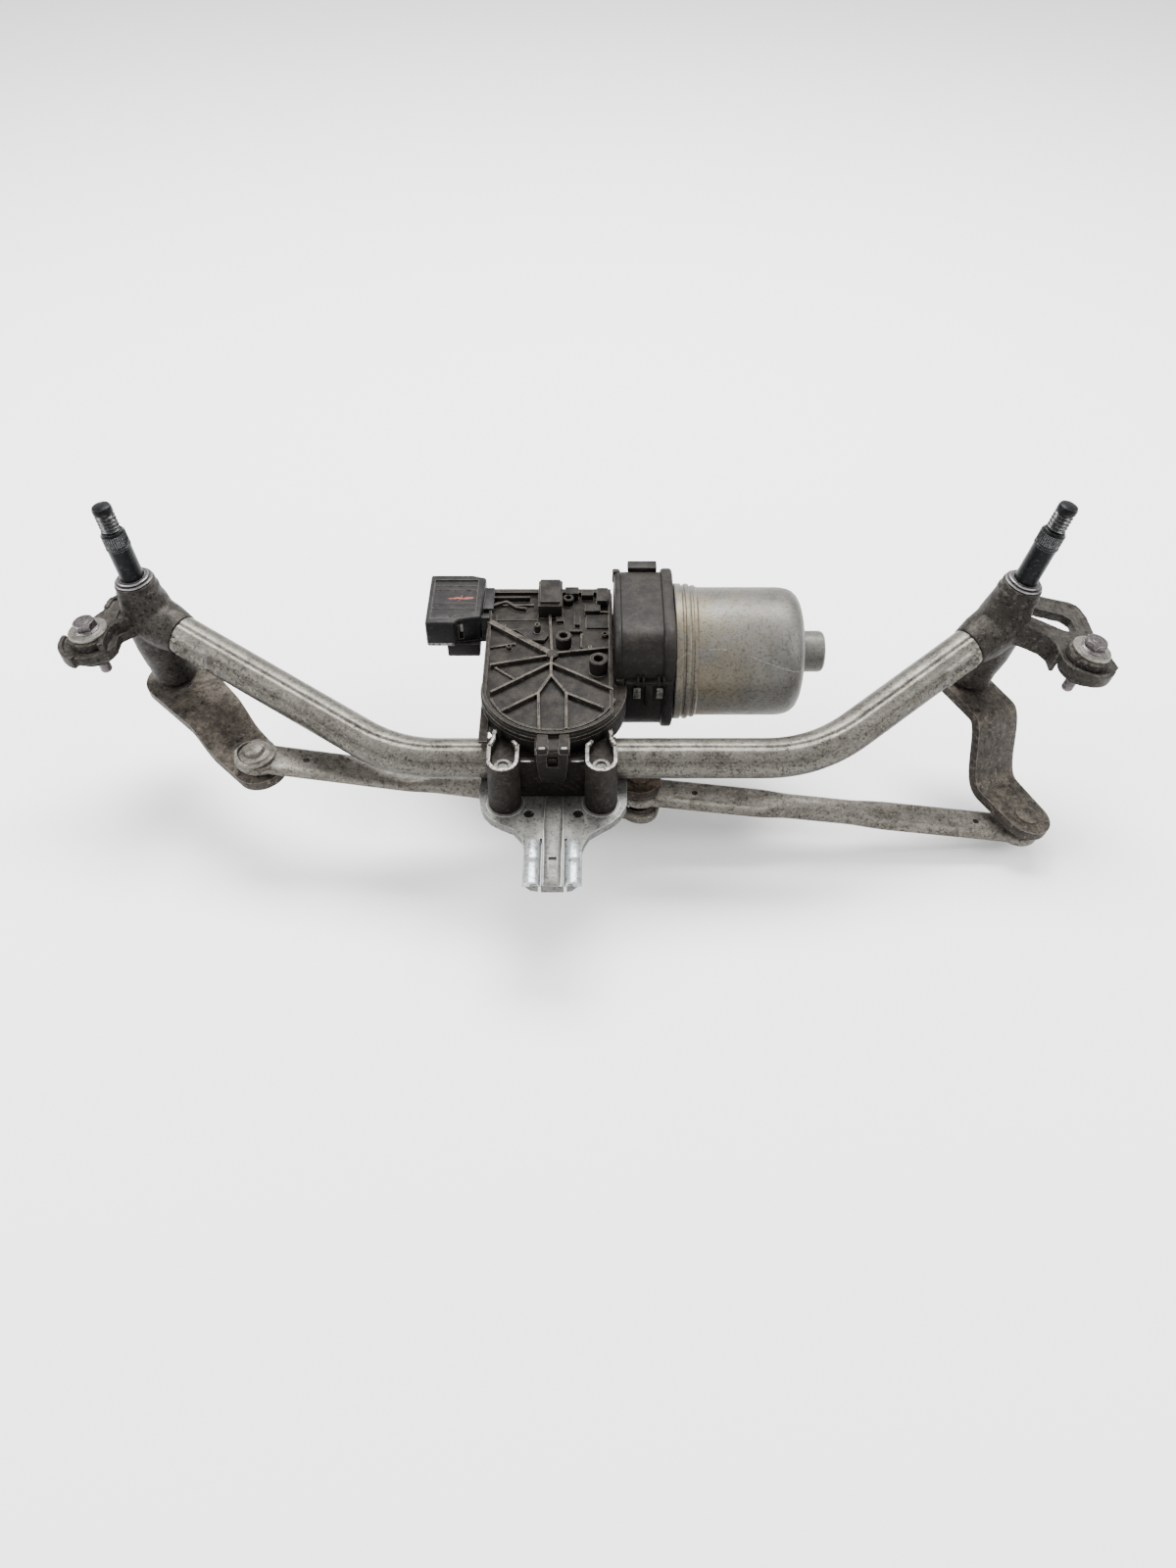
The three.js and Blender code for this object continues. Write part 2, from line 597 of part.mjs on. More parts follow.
const SHAFT_R = SHAFT_D / 2;
const rearBush = bush(SHAFT_R + GAP, SHAFT_R + 3, CAN_START_X + CAN_LEN,
  CAN_START_X + CAN_LEN + 9, 16);
node('rear_bush', onMotorAxis(rearBush), BRONZE);

const bearing = bush(SHAFT_R + GAP, BEARING_R, NECK_X0 + 7.6, NECK_X0 + 14.6);
node('shaft_bearing', onMotorAxis(bearing), BRIGHT_STEEL);

const BRUSH_X = NECK_X0 + 20.4;
const COMMUTATOR_R = 11;
const brushPlate = bush(COMMUTATOR_R + 1.5, CAN_R - CAN_WALL - 1.2, BRUSH_X - 4, BRUSH_X - 1.4);
node('brush_plate', onMotorAxis(brushPlate), BLACK_PLASTIC);

for (const [name, side] of [['brush_upper', 1], ['brush_lower', -1]]) {
  const near = COMMUTATOR_R + GAP;
  const far = near + 11;
  const z = side * ((near + far) / 2);
  const block = box(BRUSH_X, BRUSH_X + 7, -2.5, 2.5, -5.5, 5.5);
  node(name, block.translate(0, WORM_Y, WORM_Z + z), CARBON);
}

for (const [name, side] of [['case_screw_left', -1], ['case_screw_right', 1]]) {
  node(name, hexBolt({
    across: 8, head: 4, shankR: 2.5, shankLen: 16, z: 0, x: 0, y: 0,
  }).transform([1, 0, 0, 0, 0, -1, 0, 0, 0, 0, -1, 0,
    side * BOSS_X, BOSS_Y, -PLATE_T - GAP, 1]), BRIGHT_STEEL);
}

// ---------------------------------------------------------------------------
// Armature
// ---------------------------------------------------------------------------

const CORE_X0 = CAN_START_X + 12;
const CORE_X1 = CORE_X0 + 38;

function armatureShaft() {
  const worm = helix({
    root: WORM_R - TOOTH_H - 0.4, crest: WORM_R + TOOTH_H, pitch: PITCH,
    z0: -4 * PITCH, z1: 4 * PITCH, phase: 0, hand: 1, segments: 12, rowsPerTurn: 4,
  });
  // The worm is built about Z; turned onto the axis its angle is counted from -Z
  worm.rotateZ(Math.PI / 2);
  const shaft = rod(SHAFT_R, CASE_LEFT_X + CASE_WALL + GAP, CAN_START_X + CAN_LEN + 9, 0, 0, 20);
  return join(onMotorAxis(shaft), onMotorAxis(worm));
}
node('armature_shaft', armatureShaft(), BRIGHT_STEEL);

function rotorCore() {
  const step = (2 * Math.PI) / SLOTS;
  const slots = [];
  for (let k = 0; k < SLOTS; k += 1) {
    slots.push(box(14, ROTOR_R + 2, -2, 2, CORE_X0 - 1, CORE_X1 + 1).rotateZ(k * step));
  }
  const core = cut(
    join(rod(ROTOR_R, CORE_X0, CORE_X1, 0, 0, 20)),
    rod(SHAFT_R + GAP, CORE_X0 - 1, CORE_X1 + 1, 0, 0, 20), ...slots);
  return onMotorAxis(geometryOf(core));
}
node('rotor_core', rotorCore(), LAMINATION);

function windings() {
  const step = (2 * Math.PI) / SLOTS;
  const head = (x0, x1) => ring([
    [SHAFT_R + 5, x0], [ROTOR_R - 7, x0], [ROTOR_R - 3, x0 + 2],
    [ROTOR_R - 3, x1 - 2], [ROTOR_R - 7, x1], [SHAFT_R + 5, x1],
  ], 12);
  const parts = [head(CORE_X0 - 7, CORE_X0 - GAP), head(CORE_X1 + GAP, CORE_X1 + 7)];
  for (let k = 0; k < SLOTS; k += 1) {
    const bar = box(15, ROTOR_R - 4.5, -1.6, 1.6, CORE_X0 - 1, CORE_X1 + 1);
    parts.push(bar.rotateZ(k * step));
  }
  return onMotorAxis(geometryOf(join(...parts)));
}
node('windings', windings(), COPPER);

const commutator = bush(SHAFT_R + GAP, COMMUTATOR_R, BRUSH_X - 2, CORE_X0 - 7.4);
node('commutator', onMotorAxis(commutator), COPPER);

// ---------------------------------------------------------------------------
// Crank: worm wheel, output shaft, crank arm and double ball pin
// ---------------------------------------------------------------------------

function wormWheel() {
  const tip = WHEEL_R + TOOTH_H;
  const root = WHEEL_R - TOOTH_H - 0.3;
  const step = (2 * Math.PI) / TEETH;
  const outline = [];
  for (let k = 0; k < TEETH; k += 1) {
    const centre = Math.PI / 2 + k * step;
    for (const [offset, radius] of [[-0.30, root], [-0.12, tip], [0.12, tip], [0.30, root]]) {
      const angle = centre + offset * step;
      outline.push([radius * Math.cos(angle), radius * Math.sin(angle)]);
    }
  }
  const body = join(
    prism(polygon(outline), WHEEL_Z, WHEEL_Z + WHEEL_T),
    rod(9.5, WHEEL_Z, WHEEL_Z + WHEEL_T + 1.2));
  return cut(
    body,
    rod(OUT_SHAFT_D / 2 + GAP, WHEEL_Z - 1, WHEEL_Z + WHEEL_T + 3),
    bush(11.5, WHEEL_R - 5, WHEEL_Z + WHEEL_T - 1.8, WHEEL_Z + WHEEL_T + 1));
}
node('worm_wheel', wormWheel(), ACETAL);

const outR = OUT_SHAFT_D / 2;
const NUT_H = 4.8;
const SHAFT_END_Z = CRANK_TOP - SHEET - GAP - NUT_H - 0.6;
const outputShaft = turned([
  [0, SHAFT_END_Z], [outR - 1.6, SHAFT_END_Z], [outR - 1, SHAFT_END_Z + 0.6],
  [outR - 1, CRANK_TOP - SHEET - 0.5], [outR - 0.6, CRANK_TOP], [outR, CRANK_TOP + 1.5],
  [outR, WHEEL_Z + WHEEL_T + 2.4], [outR - 0.8, WHEEL_Z + WHEEL_T + 3], [0, WHEEL_Z + WHEEL_T + 3],
], 16);
node('output_shaft', outputShaft, BRIGHT_STEEL);

const crankReach = PIN.length();
const crankAngle = PIN.angle();

function crankArm() {
  const lever = steppedLever({
    hubR: 14, eyeR: PIN_END_R, reach: crankReach,
    top: CRANK_TOP, drop: CRANK_DROP, from: 17, to: 27,
  });
  const body = cut(
    lever, rod(outR + GAP, CRANK_TOP - 20, CRANK_TOP + 5, 0, 0, 16),
    rod(4.4, PIN_PLATE_TOP - 20, PIN_PLATE_TOP + 5, crankReach, 0, 20));
  return geometryOf(body).rotateZ(crankAngle);
}
node('crank_arm', crankArm(), ARM_STEEL);

function crankNut() {
  const across = 15;
  const nut = new THREE.CylinderGeometry(across / Math.sqrt(3), across / Math.sqrt(3), NUT_H, 6);
  const z1 = CRANK_TOP - SHEET - GAP;
  nut.rotateX(Math.PI / 2).translate(0, 0, z1 - NUT_H / 2);
  return cut(join(nut), rod(outR - 1 + GAP, z1 - NUT_H - 1, z1 + 1, 0, 0, 16));
}
node('crank_nut', crankNut(), BRIGHT_STEEL);

/** Points on a ball's outline, as [radius, height] from the lower to the upper neck. */
function ballArc(ballZ, neckR, steps = 5) {
  const start = Math.acos(neckR / BALL_R);
  return Array.from({ length: steps + 1 }, (_, i) => {
    const angle = -start + (2 * start * i) / steps;
    return [BALL_R * Math.cos(angle), ballZ + BALL_R * Math.sin(angle)];
  });
}

function crankPin() {
  const neck = 3.2;
  const under = PIN_PLATE_TOP - SHEET - GAP;
  return turned([
    [0, LOWER_BALL_Z - BALL_R * 0.86], [2.5, LOWER_BALL_Z - BALL_R * 0.86],
    ...ballArc(LOWER_BALL_Z, neck).slice(1), ...ballArc(UPPER_BALL_Z, neck),
    [neck, under - 0.6], [6, under - 0.6], [6, under], [4.1, under],
    [4.1, PIN_PLATE_TOP + GAP], [6.6, PIN_PLATE_TOP + GAP], [6, PIN_PLATE_TOP + 1.7],
    [3.5, PIN_PLATE_TOP + 2.3], [0, PIN_PLATE_TOP + 2.3],
  ], 14).translate(PIN.x, PIN.y, 0);
}
node('crank_pin', crankPin(), BRIGHT_STEEL);

// ---------------------------------------------------------------------------
// Links
// ---------------------------------------------------------------------------

const rad = THREE.MathUtils.degToRad;

/** Working-frame place of a rocker's ball. */
function rockerBall(pivot) {
  const angle = rad(pivot.armAngle);
  return pivotPoint(pivot, pivot.armReach * Math.cos(angle), pivot.armReach * Math.sin(angle),
    pivot.armTop - pivot.ball);
}

const spindleUp = (pivot) =>
  new THREE.Vector3(Math.sin(rad(pivot.lean)), 0, Math.cos(rad(pivot.lean)));

/** Nylon socket that wraps a ball; open at the top, and at the bottom unless closed. */
function socket(closedEnd) {
  const inner = BALL_R + GAP;
  const half = 4.6;
  const mouth = BALL_R - 0.7;
  const rim = Math.sqrt(inner * inner - mouth * mouth);
  const arc = Array.from({ length: 7 }, (_, i) => {
    const z = -rim + (2 * rim * i) / 6;
    return [Math.sqrt(inner * inner - z * z), z];
  });
  if (!closedEnd) return ring([[SOCKET_R, -half], [SOCKET_R, half], ...arc.reverse()], 16);
  const cap = Array.from({ length: 6 }, (_, i) => {
    const angle = (Math.PI / 2) * (1 - i / 6);
    return [inner * Math.cos(angle), -inner * Math.sin(angle)];
  });
  return turned([
    [0, -8], [5, -8], [6.4, -7.2], [7, -4], [SOCKET_R - 1.5, -4], [SOCKET_R, -3.6],
    [SOCKET_R, half], ...arc.slice(3).reverse(), ...cap.slice(1).reverse(), [0, -inner],
  ], 14);
}

/** Places a body built about Z at a point with its own up direction. */
function placed(geometry, point, up) {
  const turn = new THREE.Quaternion().setFromUnitVectors(Z_AXIS, up);
  return geometry.applyQuaternion(turn).translate(point.x, point.y, point.z);
}

/** Steel link between the crank's ball and a rocker's ball. */
function linkBar(start, end, endUp, flats) {
  const level = end.clone().sub(start).setZ(0).normalize();
  const endDirection = level.clone().addScaledVector(endUp, -level.dot(endUp)).normalize();
  const near = start.clone().addScaledVector(level, 15);
  const far = end.clone().addScaledVector(endDirection, -26);
  const middle = far.clone().sub(near);
  const span = middle.length();
  middle.normalize();
  const middleUp = Z_AXIS.clone().addScaledVector(middle, -middle.z).normalize();
  const flat = { halfW: FLAT_W / 2, halfH: FLAT_H / 2, square: 0.6 };
  const round = { halfW: LINK_D / 2, halfH: LINK_D / 2, square: 1 };
  const at = (distance, section) => ({
    point: near.clone().addScaledVector(middle, distance), up: middleUp, ...section,
  });
  const startFlat = { ...flat, halfW: EYE_R - 1 };
  const endFlat = { ...flat, halfW: EYE_R - 0.4 };
  const stations = [
    { point: start.clone().addScaledVector(level, 9.5), up: Z_AXIS, ...startFlat },
    { point: start.clone().addScaledVector(level, 13), up: Z_AXIS, ...startFlat },
    at(4, flat), at(flats.start - 15, flat), at(flats.start - 5, round),
    at(span / 2, round),
    at(span - flats.end + 16, round), at(span - flats.end + 26, flat),
    at(span - 4, endFlat),
    { point: end.clone().addScaledVector(endDirection, -22), up: endUp, ...endFlat },
    { point: end.clone().addScaledVector(endDirection, -9.5), up: endUp, ...endFlat },
  ];
  const eye = () => rod(EYE_R, -FLAT_H / 2, FLAT_H / 2);
  const hole = () => rod(SOCKET_R + GAP, -6, 6);
  const drill = (distance) => placed(
    rod(1.8, -8, 8, 0, 0, 12), near.clone().addScaledVector(middle, distance), middleUp);
  return cut(
    join(loft(stations), eye().translate(start.x, start.y, start.z), placed(eye(), end, endUp)),
    hole().translate(start.x, start.y, start.z), placed(hole(), end, endUp),
    drill(flats.start - 34), drill(span - flats.end + 54));
}

/** Ball stud that stays in the link's far socket; its foot stops short of the rocker. */
function ballStud(footDirection, footDepth) {
  const neck = 3.2;
  const start = Math.asin(neck / BALL_R);
  const arc = Array.from({ length: 7 }, (_, i) => {
    const angle = start + ((Math.PI - start) * i) / 6;
    return [BALL_R * Math.sin(angle), -BALL_R * Math.cos(angle)];
  });
  arc[arc.length - 1][0] = 0;
  const body = turned([
    [0, -footDepth], [4.4, -footDepth], [4.4, -footDepth + 0.8], [neck, -footDepth + 0.8], ...arc,
  ], 16);
  return footDirection > 0 ? body : body.rotateX(Math.PI);
}

function addLink(pivot, ballZ, flats, footDepth) {
  const start = new THREE.Vector3(PIN.x, PIN.y, ballZ);
  const end = rockerBall(pivot);
  const up = spindleUp(pivot);
  const name = pivot.name;
  node(`${name}_link`, linkBar(start, end, up, flats), LINK_STEEL);
  const open = pivot.name === 'left';
  const inner = socket(false).translate(start.x, start.y, start.z);
  node(`${name}_crank_socket`, inner, NYLON);
  const outer = socket(true);
  if (open) outer.rotateX(Math.PI);
  node(`${name}_rocker_socket`, placed(outer, end, up), NYLON);
  node(`${name}_ball_stud`, placed(ballStud(pivot.footSide, footDepth), end, up), BRIGHT_STEEL);
}
addLink(LEFT, LOWER_BALL_Z, { start: 62, end: 82 }, 4.6);
addLink(RIGHT, UPPER_BALL_Z, { start: 62, end: 78 }, 4.6);

// ---------------------------------------------------------------------------
// Spindle assemblies, each in a group that leans with its spindle
// ---------------------------------------------------------------------------

const SPINDLE_R = SPINDLE_D / 2;
const EAR_T = 5;
const EAR_R = 13.5;
const WAIST_R = 7.5;
const SLEEVE_R = 5;
const BOLT_R = 3;

/** Die-cast housing with the spigot for the tube and the rubber-mounted ear. */
function pivotHousing(pivot) {
  const bottom = pivot.armTop + 1.3;
  const shell = turned([
    [0, bottom], [10.8, bottom], [11.8, bottom + 2], [11.8, bottom + 12], [HOUSING_R, -16],
    [HOUSING_R, 9], [COLLAR_R + 0.4, 12], [COLLAR_R, pivot.collar - 1],
    [COLLAR_R - 0.8, pivot.collar], [0, pivot.collar],
  ], 16);
  const leg = pivot.leg.clone().applyAxisAngle(new THREE.Vector3(0, 1, 0), -rad(pivot.lean));
  const spigot = placed(turned([
    [0, 0], [TUBE_R - 0.2, 0], [TUBE_R - 0.2, TUBE_FROM - GAP],
    [TUBE_R - TUBE_WALL - GAP, TUBE_FROM - GAP],
    [TUBE_R - TUBE_WALL - GAP, TUBE_FROM + 24], [0, TUBE_FROM + 24],
  ]), new THREE.Vector3(), leg);
  const reach = pivot.earReach;
  const flat = (x0, x1, y0, y1) => box(x0, x1, y0, y1, -EAR_T / 2, EAR_T / 2);
  const ear = cut(
    join(
      flat(4, reach, -12, 12), rod(EAR_R, -EAR_T / 2, EAR_T / 2, reach, 0),
      box(6, reach - 12.5, -11, -7.5, -EAR_T / 2 - 8, 0)),
    rod(WAIST_R + GAP, -8, 8, reach, 0, 24),
    box(reach, reach + EAR_R + 2, -4.4, 4.4, -8, 8),
    box(HOUSING_R - 3, reach - WAIST_R - 3.5, -5.4, 6, -EAR_T, EAR_T),
  );
  const earGeometry = geometryOf(ear).rotateZ(rad(pivot.earAngle)).translate(0, 0, pivot.earLift);
  return cut(
    join(shell, spigot, earGeometry),
    rod(SPINDLE_R + 2.1, bottom - 1, pivot.collar + 1, 0, 0, 16));
}

function spindle(pivot) {
  const threadFrom = pivot.tip - THREAD_LEN;
  const splineFrom = threadFrom - SPLINE_LEN;
  const core = THREAD_D / 2 - 0.7;
  const foot = pivot.armTop - SHEET;
  const shaft = turned([
    [0, foot - 2], [7.6, foot - 2], [8, foot - 1.4], [8, foot - GAP], [SPINDLE_R, foot - GAP],
    [SPINDLE_R, splineFrom], [THREAD_D / 2 + 0.1, threadFrom], [core - 0.4, threadFrom + 0.6],
    [core - 0.4, pivot.tip - 0.8], [core - 1, pivot.tip], [0, pivot.tip],
  ], 16);
  const thread = helix({
    root: core, crest: THREAD_D / 2, pitch: THREAD_PITCH, z0: threadFrom + 0.3,
    z1: pivot.tip - 1.2, phase: 0, hand: 1, segments: 10, rowsPerTurn: 3,
  });
  return join(shaft, thread);
}

function rockerArm(pivot) {
  const lever = steppedLever({
    hubR: pivot.hubR, eyeR: pivot.eyeR, reach: pivot.armReach,
    top: pivot.armTop, drop: pivot.step, from: pivot.stepFrom, to: pivot.stepTo,
  });
  const deep = pivot.armTop - pivot.step - SHEET;
  const arm = cut(
    lever, rod(SPINDLE_R + GAP, deep - 5, pivot.armTop + 5, 0, 0, 16),
    rod(3.6, deep - 5, pivot.armTop + 5, pivot.armReach, 0, 20));
  return geometryOf(arm).rotateZ(rad(pivot.armAngle));
}

/** Rivet in the arm's end, where the ball stud is held. */
function studRivet(pivot) {
  const top = pivot.armTop - pivot.step;
  const bottom = top - SHEET;
  const head = pivot.footSide > 0
    ? [[0, top], [3.3, top], [3.3, bottom - GAP], [6.4, bottom - GAP],
      [5.6, bottom - 1.8], [0, bottom - 2.2]]
    : [[0, bottom], [3.3, bottom], [3.3, top + GAP], [6.4, top + GAP],
      [5.6, top + 1.8], [0, top + 2.2]];
  const ordered = pivot.footSide > 0 ? head.reverse() : head;
  const angle = rad(pivot.armAngle);
  return turned(ordered, 20).translate(
    pivot.armReach * Math.cos(angle), pivot.armReach * Math.sin(angle), 0);
}

function mountSet(pivot, group) {
  const angle = rad(pivot.earAngle);
  const x = pivot.earReach * Math.cos(angle);
  const y = pivot.earReach * Math.sin(angle);
  const lift = pivot.earLift;
  const half = EAR_T / 2 + GAP;
  const thick = 4.6;
  const grommet = ring([
    [SLEEVE_R + GAP, -half - thick], [10, -half - thick], [11, -half - thick + 1], [11, -half],
    [WAIST_R, -half], [WAIST_R, half], [11, half], [11, half + thick - 1],
    [10, half + thick], [SLEEVE_R + GAP, half + thick],
  ]);
  const sleeveHalf = half + thick + GAP;
  const sleeve = bush(BOLT_R + GAP, SLEEVE_R, -sleeveHalf, sleeveHalf, 16);
  const washer = bush(BOLT_R + GAP, 10, sleeveHalf + GAP, sleeveHalf + GAP + 1.5);
  const seat = sleeveHalf + 2 * GAP + 1.5;
  const bolt = hexBolt({ across: 10, head: 4.2, shankR: BOLT_R, shankLen: 28, z: seat });
  node(`${pivot.name}_grommet`, grommet.translate(x, y, lift), RUBBER, group);
  node(`${pivot.name}_sleeve`, sleeve.translate(x, y, lift), BRIGHT_STEEL, group);
  node(`${pivot.name}_washer`, washer.translate(x, y, lift), ZINC, group);
  node(`${pivot.name}_bolt`, geometryOf(bolt).translate(x, y, lift), BRIGHT_STEEL, group);
}

function addPivot(pivot) {
  const group = new THREE.Group();
  group.name = `${pivot.name}_pivot`;
  group.position.copy(pivot.centre);
  group.rotation.y = rad(pivot.lean);
  const { name, collar } = pivot;
  const bottom = pivot.armTop + 1.3;
  const bushOuter = SPINDLE_R + 1.8;
  node(`${name}_pivot_housing`, pivotHousing(pivot), CAST, group);
  node(`${name}_upper_bush`,
    bush(SPINDLE_R + GAP, bushOuter, collar - 14, collar, 14), BRONZE, group);
  node(`${name}_lower_bush`,
    bush(SPINDLE_R + GAP, bushOuter, bottom, bottom + 14, 14), BRONZE, group);
  node(`${name}_spindle`, spindle(pivot), BLACK_STEEL, group);
  node(`${name}_thrust_washer`,
    bush(SPINDLE_R + GAP, 9.8, collar + GAP, collar + GAP + 1, 16), ZINC, group);
  node(`${name}_circlip`,
    bush(SPINDLE_R + GAP, 8.4, collar + 2 * GAP + 1, collar + 2 * GAP + 2.2, 16),
    BLACK_STEEL, group);
  node(`${name}_rocker_arm`, rockerArm(pivot), ARM_STEEL, group);
  node(`${name}_stud_rivet`, studRivet(pivot), BRIGHT_STEEL, group);
  mountSet(pivot, group);
  object.add(group);
}
addPivot(LEFT);
addPivot(RIGHT);

// ---------------------------------------------------------------------------
// Origin: underside of the tongue, where it is held
// ---------------------------------------------------------------------------

object.position.set(0, -MOUNT_Y, PLATE_T);

export default object;
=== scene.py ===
# %% [markdown]
# # A windscreen wiper linkage and its motor
# The real object is a grimy mix of castings, bent tube, pressed steel and moulded plastic.
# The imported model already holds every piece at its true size. This lesson lays finer,
# smoother pieces over it, gives each one a worn finish, and lights the whole drive.
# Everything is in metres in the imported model's frame. Lengths in the code are millimetres
# in the "drive frame": its Z axis is the motor's output shaft, and Z = 0 is the top of the
# centre bracket. Helpers turn them into metres at the last moment.

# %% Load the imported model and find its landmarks
import bpy
import bmesh
import json
import math
from mathutils import Matrix, Vector, noise


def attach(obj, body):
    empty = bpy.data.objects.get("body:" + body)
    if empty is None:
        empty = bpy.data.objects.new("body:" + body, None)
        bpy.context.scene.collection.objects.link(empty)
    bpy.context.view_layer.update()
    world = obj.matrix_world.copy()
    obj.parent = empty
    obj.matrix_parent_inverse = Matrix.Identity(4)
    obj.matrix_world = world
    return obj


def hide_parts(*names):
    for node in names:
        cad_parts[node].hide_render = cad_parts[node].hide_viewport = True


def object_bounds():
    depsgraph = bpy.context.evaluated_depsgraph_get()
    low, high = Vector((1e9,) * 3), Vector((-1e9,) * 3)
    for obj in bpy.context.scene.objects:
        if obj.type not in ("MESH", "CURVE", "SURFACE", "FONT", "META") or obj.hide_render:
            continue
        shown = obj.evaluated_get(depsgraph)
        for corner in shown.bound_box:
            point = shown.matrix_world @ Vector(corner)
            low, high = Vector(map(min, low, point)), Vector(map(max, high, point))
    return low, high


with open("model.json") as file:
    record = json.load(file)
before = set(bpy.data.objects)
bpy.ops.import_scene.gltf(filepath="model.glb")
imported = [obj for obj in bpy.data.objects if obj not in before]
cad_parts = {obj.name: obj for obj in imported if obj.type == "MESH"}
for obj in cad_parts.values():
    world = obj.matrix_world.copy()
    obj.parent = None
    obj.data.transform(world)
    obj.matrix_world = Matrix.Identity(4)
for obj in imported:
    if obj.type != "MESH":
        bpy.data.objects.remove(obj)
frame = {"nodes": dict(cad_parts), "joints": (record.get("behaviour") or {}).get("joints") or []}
CAD_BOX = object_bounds()
JOINTS = {j["name"]: j for j in frame["joints"]}
MM = 0.001
DRIVE = Matrix.Translation(JOINTS["crank_turn"]["pos_m"]) @ Matrix.Scale(MM, 4)


def spindle_frame(joint):
    """Matrix from a spindle's own millimetres (u across, v back, s up the spindle)."""
    axis = Vector(JOINTS[joint]["axis"]).normalized()
    across = Vector((axis.z, 0, -axis.x))
    turn = Matrix((across, Vector((0, 1, 0)), axis)).transposed().to_4x4()
    return Matrix.Translation(JOINTS[joint]["pos_m"]) @ turn @ Matrix.Scale(MM, 4)


LEFT_SPINDLE = spindle_frame("left_rocker_swing")
RIGHT_SPINDLE = spindle_frame("right_rocker_swing")

# %% [markdown]
# ## Camera
# The drive is seen from the front and well above, as when it lies on a bench. A camera
# 625 mm away, tipped 46 degrees down, frames it with room on every side. A long way back
# with a long lens would flatten the leaning spindles, so a moderate lens stays close.

# %% Set the camera
CAMERA_TILT = math.radians(46)
CAMERA_BACK = 0.625
AIM = DRIVE @ Vector((17.5, -34, 0))
LENS_MM = 28.125                              # on a 36 mm sensor, long side
camera = bpy.data.objects.new("camera", bpy.data.cameras.new("camera"))
camera.data.lens = LENS_MM
camera.data.clip_start = 0.01
bpy.context.scene.collection.objects.link(camera)
gaze = Vector((0, math.cos(CAMERA_TILT), -math.sin(CAMERA_TILT)))
camera.location = AIM - gaze * CAMERA_BACK
camera.rotation_euler = (math.pi / 2 - CAMERA_TILT, 0, 0)
bpy.context.scene.camera = camera
print("camera at", [round(v, 3) for v in camera.location])

# %% [markdown]
# ## Light and floor
# Soft light from large panels gives metal long, gentle reflections. One broad panel above
# and behind, one to the left and a weaker one to the right keep the dark castings readable.

# %% Set the floor, the panels and the sky
FLOOR_DROP = 0.004
FLOOR_Z_M = CAD_BOX[0][2] - FLOOR_DROP


def flat_finish(name, color, roughness):
    material = bpy.data.materials.new(name)
    material.use_nodes = True
    shader = material.node_tree.nodes["Principled BSDF"]
    shader.inputs["Base Color"].default_value = (*color, 1)
    shader.inputs["Roughness"].default_value = roughness
    return material


def add_floor():
    mesh = bpy.data.meshes.new("studio_floor")
    reach = 6
    corners = [(-reach, -reach), (reach, -reach), (reach, reach), (-reach, reach)]
    mesh.from_pydata([(x, y, FLOOR_Z_M) for x, y in corners], [], [(0, 1, 2, 3)])
    mesh.materials.append(flat_finish("pale studio floor", (0.97, 0.97, 0.97), 0.95))
    floor = bpy.data.objects.new("studio_floor", mesh)
    bpy.context.scene.collection.objects.link(floor)


def add_panel(name, place, size, watts):
    lamp = bpy.data.lights.new(name, "AREA")
    lamp.shape = "RECTANGLE"
    lamp.size, lamp.size_y = size
    lamp.energy = watts
    panel = bpy.data.objects.new(name, lamp)
    panel.location = place
    panel.rotation_euler = (AIM - Vector(place)).to_track_quat("-Z", "Y").to_euler()
    bpy.context.scene.collection.objects.link(panel)


def add_sky(strength):
    world = bpy.data.worlds.new("studio sky")
    world.use_nodes = True
    background = world.node_tree.nodes["Background"]
    background.inputs["Color"].default_value = (1, 1, 1, 1)
    background.inputs["Strength"].default_value = strength
    bpy.context.scene.world = world


add_floor()
add_panel("panel above", (0.1, 0.75, 1.3), (1.2, 0.6), 62)
add_panel("panel left", (-1.3, -0.1, 0.9), (0.8, 0.8), 26)
add_panel("panel right", (1.3, -0.3, 0.8), (0.6, 0.7), 14)
add_sky(1.15)
print("floor at", round(FLOOR_Z_M, 4))

# %% [markdown]
# ## Mesh helpers
# Most pieces come from four moves: turn a profile, extrude an outline, carry a section
# along a path, and melt several closed shapes into one skin. The last is a voxel remesh,
# which gives castings the soft inner corners that a bevel can't reach. Each helper returns
# a plain mesh object in drive or spindle millimetres, and `hand_over` takes it to metres.

# %% Turn, extrude and carry sections
def as_object(name, mesh_data):
    mesh = bpy.data.meshes.new(name)
    mesh_data.to_mesh(mesh)
    mesh_data.free()
    made = bpy.data.objects.new(name, mesh)
    bpy.context.scene.collection.objects.link(made)
    return made


def closed(name, points, faces):
    """Closed solid from points and faces, with its faces turned outwards."""
    data = bmesh.new()
    corners = [data.verts.new(p) for p in points]
    for face in faces:
        data.faces.new([corners[i] for i in face])
    bmesh.ops.recalc_face_normals(data, faces=data.faces)
    return as_object(name, data)


def rings(name, loops, wrap=False):
    """Skin over loops of equal length; the ends are capped unless it wraps round."""
    count = len(loops[0])
    points = [p for loop in loops for p in loop]
    faces = []
    for k in range(len(loops) if wrap else len(loops) - 1):
        a, b = k * count, ((k + 1) % len(loops)) * count
        faces += [(a + i, a + (i + 1) % count, b + (i + 1) % count, b + i)
                  for i in range(count)]
    if not wrap:
        last = (len(loops) - 1) * count
        faces += [tuple(range(count)), tuple(range(last, last + count))]
    return closed(name, points, faces)


